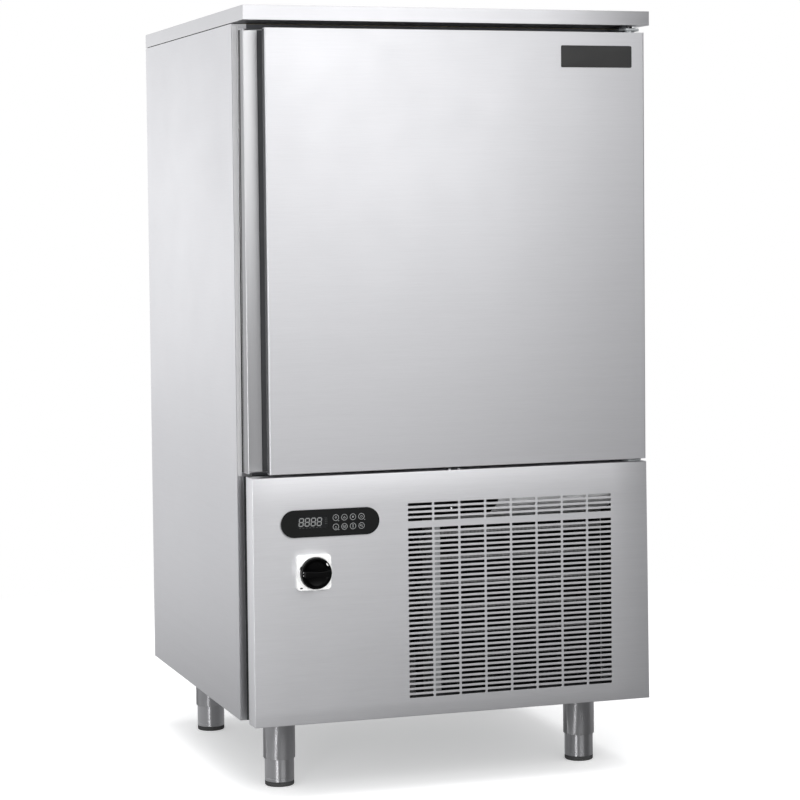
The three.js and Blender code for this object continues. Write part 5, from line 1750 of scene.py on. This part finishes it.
@dataclass
class Chamber:
    """Inside of the cabinet: racks, duct, fans, guards and evaporator."""

    fan_hub: float = 84 * MM
    guard_wire: float = 2 * MM
    guard_rings: int = 7
    inner_ring: float = 46 * MM
    spoke_start: float = 24 * MM
    spoke_bow: float = 4 * MM
    spoke_setback: float = 3.2 * MM
    spoke_gap: float = 0.2 * MM
    spoke_angles: tuple[float, ...] = (45, 135, 225, 315)
    motor_radius: float = 39 * MM
    motor_depth: float = 12 * MM
    motor_edge: tuple[Pair, ...] = ((4 * MM, 0.0), (1 * MM, 1 * MM), (0.0, 3.4 * MM))
    fin: float = 0.5 * MM
    fin_pitch: float = 5.6 * MM
    fin_margins: Pair = (14 * MM, 12 * MM)
    fin_short: Pair = (8 * MM, 4 * MM)
    end_plate: float = 1.6 * MM
    plate_inset: float = 1 * MM
    tube_radius: float = 4.8 * MM
    tube_pitch: float = 38 * MM
    tube_columns: int = 3
    tube_margin: float = 14 * MM
    tube_ends: Pair = (26 * MM, 20 * MM)
    tube_inset: float = 2 * MM

    def dress(self) -> None:
        """Dresses the chamber's sheets and builds its fans and coil."""
        WIRE_STEEL.on("rack_left", "rack_right")
        LINER_STEEL.on("fan_deflector")
        self.coil()
        for place in ("lower", "upper"):
            self.guard(place)
            Impeller.fitted(f"evaporator_fan_{place}", f"fan_wheel_{place}", self.fan_hub)

    def guard(self, place: str) -> None:
        """Wire guard: rings R_k (cos t, sin t) and four spokes that bend back to the duct, round the motor.

        Args:
            place: Which of the two fans it stands before.
        """
        node = f"fan_guard_{place}"
        low, high = corners(node)
        wire, bow = self.guard_wire, self.spoke_bow
        reach = (high[2] - low[2]) / 2 - wire
        front = low[1] + wire
        at = (middle(node)[0], front, middle(node)[2])
        section = Outline.circle(wire, 8).points
        turn = np.linspace(0, 2 * math.pi, 72, endpoint=False)
        ring = np.stack([np.cos(turn), np.zeros_like(turn), np.sin(turn)], axis=1)
        radii = np.linspace(self.inner_ring, reach, self.guard_rings)
        rings = [swept(section, radius * ring, (0, 1, 0), wrap=True) for radius in radii]
        bend = np.linspace(0, math.pi / 2, 7)
        line = np.stack([reach - bow + bow * np.sin(bend), bow * (1 - np.cos(bend))], axis=1)
        line = np.concatenate([[[self.spoke_start, 0]], line, [[reach, high[1] - front - self.spoke_gap]]])
        spoke = swept(section, np.insert(line + [0, self.spoke_setback], 2, 0.0, axis=1), (0, 0, 1))
        spokes = spoke.turned_by(turns_about_y([-angle for angle in self.spoke_angles]))
        show(Surface.joined(*rings, spokes).at(at), f"guard_wires_{place}", WIRE_STEEL, "cabinet", [node])
        hub, depth = self.motor_radius, self.motor_depth
        cup = [(0.0, -wire)] + [(hub - inset, fall - wire) for inset, fall in self.motor_edge]
        cup += [(hub, depth), (0.0, depth)]
        show(lathed(cup, at, Facing.BACK, 64), f"guard_motor_{place}", MACHINE_PAINT, "cabinet")

    def coil(self) -> None:
        """Evaporator: thin upright fins, end plates and tubes across them."""
        low, high = corners("evaporator_coil")
        size, (mid_x, mid_y, mid_z) = high - low, middle("evaporator_coil")
        (first, last), (short_y, short_z) = self.fin_margins, self.fin_short
        fin = brick((self.fin, size[1] - short_y, size[2] - short_z), edge=0.1 * MM)
        xs = np.arange(low[0] + first, high[0] - last, self.fin_pitch)
        fins = fin.at(np.stack(np.broadcast_arrays(xs, mid_y, mid_z), axis=1))
        sides = (low[0] + self.plate_inset, high[0] - self.plate_inset)
        ends = brick((self.end_plate, size[1], size[2])).at([(x, mid_y, mid_z) for x in sides])
        section = Outline.circle(self.tube_radius, 10).points
        foot, top = self.tube_ends
        xs = np.array([low[0] + self.tube_inset, mid_x, high[0] - self.tube_inset])
        tubes = [
            swept(section, np.stack(np.broadcast_arrays(xs, y, z), axis=1), (0, 0, 1))
            for y in np.linspace(low[1] + self.tube_margin, high[1] - self.tube_margin, self.tube_columns)
            for z in np.arange(low[2] + foot, high[2] - top, self.tube_pitch)
        ]
        show(Surface.joined(fins, ends), "evaporator_fins", ZINC_SHEET, "cabinet", ["evaporator_coil"])
        show(Surface.joined(*tubes), "evaporator_tubes", TUBE_METAL, "cabinet")


# ---- Condensing unit -------------------------------------------------------------------------


@dataclass
class CondensingUnit:
    """Machine compartment behind the slotted panel."""

    fan_hub: float = 72 * MM
    finned_width: float = 340 * MM
    fin_pitch: float = 2.7 * MM
    fin_sheet: float = 0.5 * MM
    fin_margins: Pair = (3 * MM, 2 * MM)
    fin_short: Pair = (2 * MM, 3 * MM)
    flange: Pair = (15 * MM, 1.2 * MM)
    flange_setback: float = 0.3 * MM
    end_plate: float = 1.6 * MM
    lid_sheet: float = 1 * MM
    hem_sheet: Pair = (1 * MM, 0.9 * MM)
    hem_rises: Pair = (1.4 * MM, 4.0 * MM)
    tube_radius: float = 4.8 * MM
    tube_rows: int = 7
    tube_top: float = 459.6 * MM
    tube_pitch: float = 46.7 * MM
    tube_setback: float = 6.6 * MM
    rear_tube_shift: float = 6 * MM
    tube_stub: float = 1 * MM
    bend_stub: float = 2 * MM
    baffle_width: float = 236 * MM
    baffle_inset: float = 2 * MM
    baffle_setback: float = 9 * MM
    baffle_sweep: float = 58 * MM
    baffle_top: float = 47 * MM
    baffle_height: float = 36 * MM
    baffle_sheet: float = 0.3 * MM
    crumples: tuple[Triple, ...] = ((2.0 * MM, 61, 5.3), (1.3 * MM, 157, -9.1))

    def dress(self) -> None:
        """Builds the condenser and its fan, and dresses the rest."""
        # The shroud is near black as painted shade inside the machine compartment.
        SHADED_ZINC.on("condenser_shroud")
        MACHINE_PAINT.on("condenser_motor", "compressor", "liquid_receiver")
        DARK_MOULDING.on("cable_gland")
        self.fins_and_plates()
        self.tubes()
        Impeller.fitted("condenser_fan", "condenser_wheel", self.fan_hub)
        self.baffle()

    def coil_box(self) -> tuple[np.ndarray, np.ndarray, np.ndarray]:
        """Lowest corner, highest corner and middle of the part of the coil that carries fins.

        Returns:
            The three points.
        """
        low, high = corners("condenser_coil")
        low[0] = high[0] - self.finned_width
        return low, high, (low + high) / 2

    def fins_and_plates(self) -> None:
        """Thin fins side by side across the coil, an end plate at each side, a flange, a lid and its hem."""
        low, high, mid = self.coil_box()
        size = high - low
        (first, last), (short_y, short_z) = self.fin_margins, self.fin_short
        xs = np.arange(low[0] + first, high[0] - last, self.fin_pitch)
        fin = brick((self.fin_sheet, size[1] - short_y, size[2] - short_z), edge=0.1 * MM)
        fins = fin.at(np.stack(np.broadcast_arrays(xs, mid[1], mid[2]), axis=1))
        show(fins, "condenser_fins", FIN_METAL, "cabinet", ["condenser_coil"])
        width, sheet = self.flange
        flange = brick((width, sheet, size[2]), (low[0] + width / 2, low[1] + self.flange_setback, mid[2]))
        ends = (low[0] + self.end_plate / 2, high[0] - self.end_plate / 2)
        plates = brick((self.end_plate, size[1], size[2])).at([(x, mid[1], mid[2]) for x in ends])
        lid = brick((size[0], size[1], self.lid_sheet), (mid[0], mid[1], high[2] - self.lid_sheet / 2))
        deep, tall = self.hem_sheet
        rises = [(mid[0], low[1] - deep / 2, high[2] + rise) for rise in self.hem_rises]
        hem = brick((size[0], deep, tall)).at(rises)
        show(Surface.joined(flange, plates, lid, hem), "condenser_plates", PALE_ZINC, "cabinet")

    def tubes(self) -> None:
        """Two tubes across the coil at each level, and return bends C(t) = (-R/2 sin t, R (1 - cos t))."""
        low, high, mid = self.coil_box()
        section = Outline.circle(self.tube_radius, 14).points
        levels = self.tube_top - self.tube_pitch * np.arange(self.tube_rows)
        front, rear = low[1] + self.tube_setback, mid[1] + self.rear_tube_shift
        xs = np.array([low[0] - self.tube_stub, mid[0], high[0] + self.tube_stub])
        tubes = [
            swept(section, np.stack(np.broadcast_arrays(xs, y, z), axis=1), (0, 0, 1))
            for z in levels
            for y in (front, rear)
        ]
        show(Surface.joined(*tubes), "condenser_tubes", TUBE_METAL, "cabinet")
        turn = np.linspace(0, math.pi, 13)
        r = self.tube_pitch / 2
        x, rise = low[0] - self.bend_stub - 0.5 * r * np.sin(turn), r * (1 - np.cos(turn))
        bends = [
            swept(section, np.stack(np.broadcast_arrays(x, rear, z + rise), axis=1), (0, 1, 0))
            for z in levels[1::2]
        ]
        # The return bends are near black as painted shade at the coil's end.
        show(Surface.joined(*bends), "condenser_bends", SHADED_ZINC, "cabinet")

    def baffle(self) -> None:
        """Crumpled foil between the panel and the coil's upper edge.

        Its depth is y(u, v) = y0 + a v^2 + (0.4 + v) times the sum of b sin(k u + m v).
        """
        right, _, top = corners("condenser_coil")[1]
        front = corners("front_panel")[0][1]
        u = np.linspace(right - self.baffle_width, right - self.baffle_inset, 90)[:, None]
        v = np.linspace(0.0, 1.0, 24)[None, :]
        ripple = sum(height * np.sin(k * u + m * v) for height, k, m in self.crumples)
        y = front + self.baffle_setback + self.baffle_sweep * v**2 + ripple * (0.4 + v)
        z = top + self.baffle_top - self.baffle_height * v
        foil = Surface.grid(np.stack(np.broadcast_arrays(u, y, z), axis=-1))
        walled(foil, "air_baffle", self.baffle_sheet, FOIL, "cabinet", offset=0.0)


# ---- Studio ----------------------------------------------------------------------------------

WHITE: Colour = (1.0, 1.0, 1.0, 1.0)
ROOM_TINT: Colour = (0.985, 0.988, 1.0, 1.0)
AIR_TINT: Colour = (0.985, 0.99, 1.0, 1.0)


def stand(item: bpy.types.Object, axes: Sequence[np.ndarray], place: Triple) -> None:
    """Puts a lamp or a camera into the scene.

    Args:
        item: The object.
        axes: Its own X, Y and Z in the room.
        place: Its place.
    """
    matrix = np.eye(4)
    matrix[:3, :3] = np.stack(axes, axis=1)
    matrix[:3, 3] = place
    bpy.context.scene.collection.objects.link(item)
    item.matrix_world = Matrix(matrix.tolist())


@dataclass
class Lamp:
    """One soft rectangular lamp."""

    name: str
    place: Triple
    target: Triple
    size: Pair
    power: float
    mirrored: bool = True

    def build(self) -> None:
        """Makes the lamp and aims it: its Z axis points back from the target."""
        data = bpy.data.lights.new(self.name, "AREA")
        data.shape = "RECTANGLE"
        data.size, data.size_y = self.size
        data.energy = self.power
        lamp = bpy.data.objects.new(self.name, data)
        back = np.array(self.place) - np.array(self.target)
        back = back / np.linalg.norm(back)
        right = np.cross((0, 0, 1), back)
        right = right / np.linalg.norm(right)
        stand(lamp, (right, np.cross(back, right), back), self.place)
        lamp.visible_camera = False
        lamp.visible_glossy = self.mirrored


@dataclass
class Studio:
    """Camera, lamps, surroundings and floor."""

    place: Triple = (-1.507338, -4.589013, 1.067005)
    yaw: float = 18.41898
    pitch: float = 2.99571
    roll: float = 0.57336
    lens: float = 110.6665
    sensor: float = 36.0
    shift: float = -0.08
    lamps: tuple[Lamp, ...] = (
        Lamp("front_softbox", (0.42, -2.6, 1.9), (0.0, -0.37, 1.0), (1.6, 2.0), 20.4),
        Lamp("side_softbox", (-1.9, -2.3, 2.3), (-0.37, -0.33, 1.2), (1.6, 1.4), 13.0),
        Lamp("strip_light", (-1.75, -2.43, 0.5), (-0.3, -0.2, 0.3), (0.42, 1.2), 13.0),
        Lamp("rear_softbox", (-1.45, 2.7, 1.08), (-0.39, 0.0, 1.0), (2.2, 1.1), 2.8),
        Lamp("top_softbox", (-0.2, -0.3, 3.4), (0.0, 0.0, 0.8), (3.0, 3.0), 95.0, False),
    )
    room_axis: Triple = (-0.86, 0.42, 0.0)
    room_levels: tuple[Pair, ...] = ((0.0, 0.03), (0.2, 0.24), (0.4, 0.52), (0.75, 0.9), (1.0, 1.0))
    ceiling_band: Pair = (0.05, 0.75)
    ceiling_level: float = 0.3
    right_band: Pair = (0.86, 0.99)
    right_level: float = 0.45
    zenith_band: Pair = (0.62, 0.84)
    zenith_level: float = 0.4
    diffuse_level: float = 0.6
    floor_reach: float = 30.0
    floor_tones: tuple[Colour, Colour] = ((0.84, 0.84, 0.845, 1.0), (0.88, 0.88, 0.88, 1.0))
    floor_glow: float = 0.38
    floor_fade: Pair = (1.0, 2.2)
    floor_lift: float = 0.45
    mirror_shadow_fade: Pair = (0.4, 2.6)
    mirror_shadow_levels: Pair = (0.3, 0.8)

    def build(self) -> None:
        """Makes everything round the object."""
        self.camera()
        for lamp in self.lamps:
            lamp.build()
        room = self.room_group()
        self.world(room)
        self.floor(room)

    def camera(self) -> None:
        """Camera from its place and three angles.

        Forward is (sin y cos p, cos y cos p, -sin p), and roll turns right and down about it.
        """
        yaw, pitch, roll = (math.radians(angle) for angle in (self.yaw, self.pitch, self.roll))
        level = math.cos(pitch)
        forward = np.array([math.sin(yaw) * level, math.cos(yaw) * level, -math.sin(pitch)])
        right = np.array([math.cos(yaw), -math.sin(yaw), 0.0])
        down = np.cross(forward, right)
        turned_right = math.cos(roll) * right + math.sin(roll) * down
        turned_down = -math.sin(roll) * right + math.cos(roll) * down
        data = bpy.data.cameras.new("view_camera")
        data.sensor_width, data.lens, data.shift_y = self.sensor, self.lens, self.shift
        camera = bpy.data.objects.new("view_camera", data)
        stand(camera, (turned_right, -turned_down, -forward), self.place)
        bpy.context.scene.camera = camera

    def room_group(self) -> bpy.types.NodeTree:
        """Brightness of the room as the metal mirrors it: bright left and behind, pale far right and above.

        Returns:
            Group with output Level.
        """
        inputs, outputs = {"Direction": ("Vector", None)}, {"Level": "Float"}
        tree, s, given, out = Effects.start("room_level", inputs, outputs)
        unit = s.vector("NORMALIZE", given["Direction"]).outputs[0]
        along = s.spread(s.vector("DOT_PRODUCT", unit, self.room_axis).outputs["Value"], (-1.0, 1.0))
        ramp = s.node("ValToRGB", along)
        ramp.color_ramp.interpolation = "B_SPLINE"
        for index, (place, level) in enumerate(self.room_levels):
            stop = ramp.color_ramp.elements[index] if index < 2 else ramp.color_ramp.elements.new(place)
            stop.position = place
            stop.color = (level, level, level, 1.0)
        aside = s.split(unit)
        overhead = s.spread(aside["Z"], self.ceiling_band, (1.0, self.ceiling_level))
        right = s.spread(aside["X"], self.right_band, (0.0, self.right_level))
        zenith = s.spread(aside["Z"], self.zenith_band, (0.0, self.zenith_level))
        level = s.calc("MULTIPLY", ramp.outputs[0], overhead)
        s.feed(out["Level"], s.calc("ADD", level, s.calc("ADD", right, zenith)))
        return tree

    def world(self, room: bpy.types.NodeTree) -> None:
        """White where the camera looks, the room's brightness in reflections and an even light elsewhere.

        Args:
            room: Group of the room's brightness.
        """
        world = bpy.data.worlds.new("studio_surroundings")
        s = Sheet.emptied(world)
        path = s.node("LightPath").outputs
        level = s.group(room, Direction=s.node("TexCoord").outputs["Generated"]).outputs["Level"]
        glossy = s.node("Background", Color=ROOM_TINT, Strength=level).outputs[0]
        plain = s.node("Background", Color=AIR_TINT, Strength=self.diffuse_level).outputs[0]
        white = s.node("Background", Color=WHITE, Strength=1.0).outputs[0]
        light = s.shaders(path["Is Glossy Ray"], plain, glossy)
        seen = s.calc("MAXIMUM", path["Is Camera Ray"], path["Is Transmission Ray"])
        s.node("OutputWorld", Surface=s.shaders(seen, light, white))
        bpy.context.scene.world = world
        bpy.context.scene.view_settings.view_transform = "Standard"

    def floor(self, room: bpy.types.NodeTree) -> None:
        """Wide pale floor: it keeps the object's soft shadow and turns plain white further out; in
        reflections it glows with the room's brightness, dimmer near the object as painted shadow.

        Args:
            room: Group of the room's brightness.
        """
        line = np.linspace(-self.floor_reach, self.floor_reach, 13)
        points = np.stack(np.broadcast_arrays(line[:, None], line[None, :], 0.0), axis=-1)
        piece = Surface.grid(points).object("studio_floor", closed=False)
        made = bpy.data.materials.new("studio_floor")
        s = Sheet.emptied(made)
        path = s.node("LightPath").outputs
        place = s.node("TexCoord").outputs["Object"]
        far = s.vector("LENGTH", place).outputs["Value"]
        tone = s.blend(s.noise(place, 2.0, 3.0), *self.floor_tones)
        lit = s.node("BsdfDiffuse", Color=tone).outputs[0]
        glow = s.node("Emission", Color=WHITE, Strength=self.floor_glow).outputs[0]
        white = s.node("Emission", Color=WHITE, Strength=1.0).outputs[0]
        seen = s.shaders(s.spread(far, self.floor_fade), s.node("AddShader", lit, glow).outputs[0], white)
        level = s.group(room, Direction=place).outputs["Level"]
        lifted = s.spread(level, (0.0, 1.0), (self.floor_lift, 1.0))
        # Painted shadow: the floor seen in reflections glows less near the object.
        near = s.spread(far, self.mirror_shadow_fade, self.mirror_shadow_levels)
        mirrored = s.node("Emission", Color=ROOM_TINT, Strength=s.calc("MULTIPLY", lifted, near)).outputs[0]
        light = s.shaders(path["Is Glossy Ray"], lit, mirrored)
        s.node("OutputMaterial", Surface=s.shaders(path["Is Camera Ray"], light, seen))
        piece.data.materials.append(made)


OUTSIDE = (CabinetShell, Door, Hinges, FrontPanel, Controls, MainSwitch, Legs)
INSIDE = (Chamber, CondensingUnit)


def main() -> None:
    """Builds the studio, then each sub-assembly."""
    logging.basicConfig(level=logging.INFO, format="%(name)s: %(message)s")
    Studio().build()
    for assembly in OUTSIDE + INSIDE:
        assembly().dress()
        LOG.info("%s is dressed", assembly.__name__)


if __name__ == "__main__":
    main()
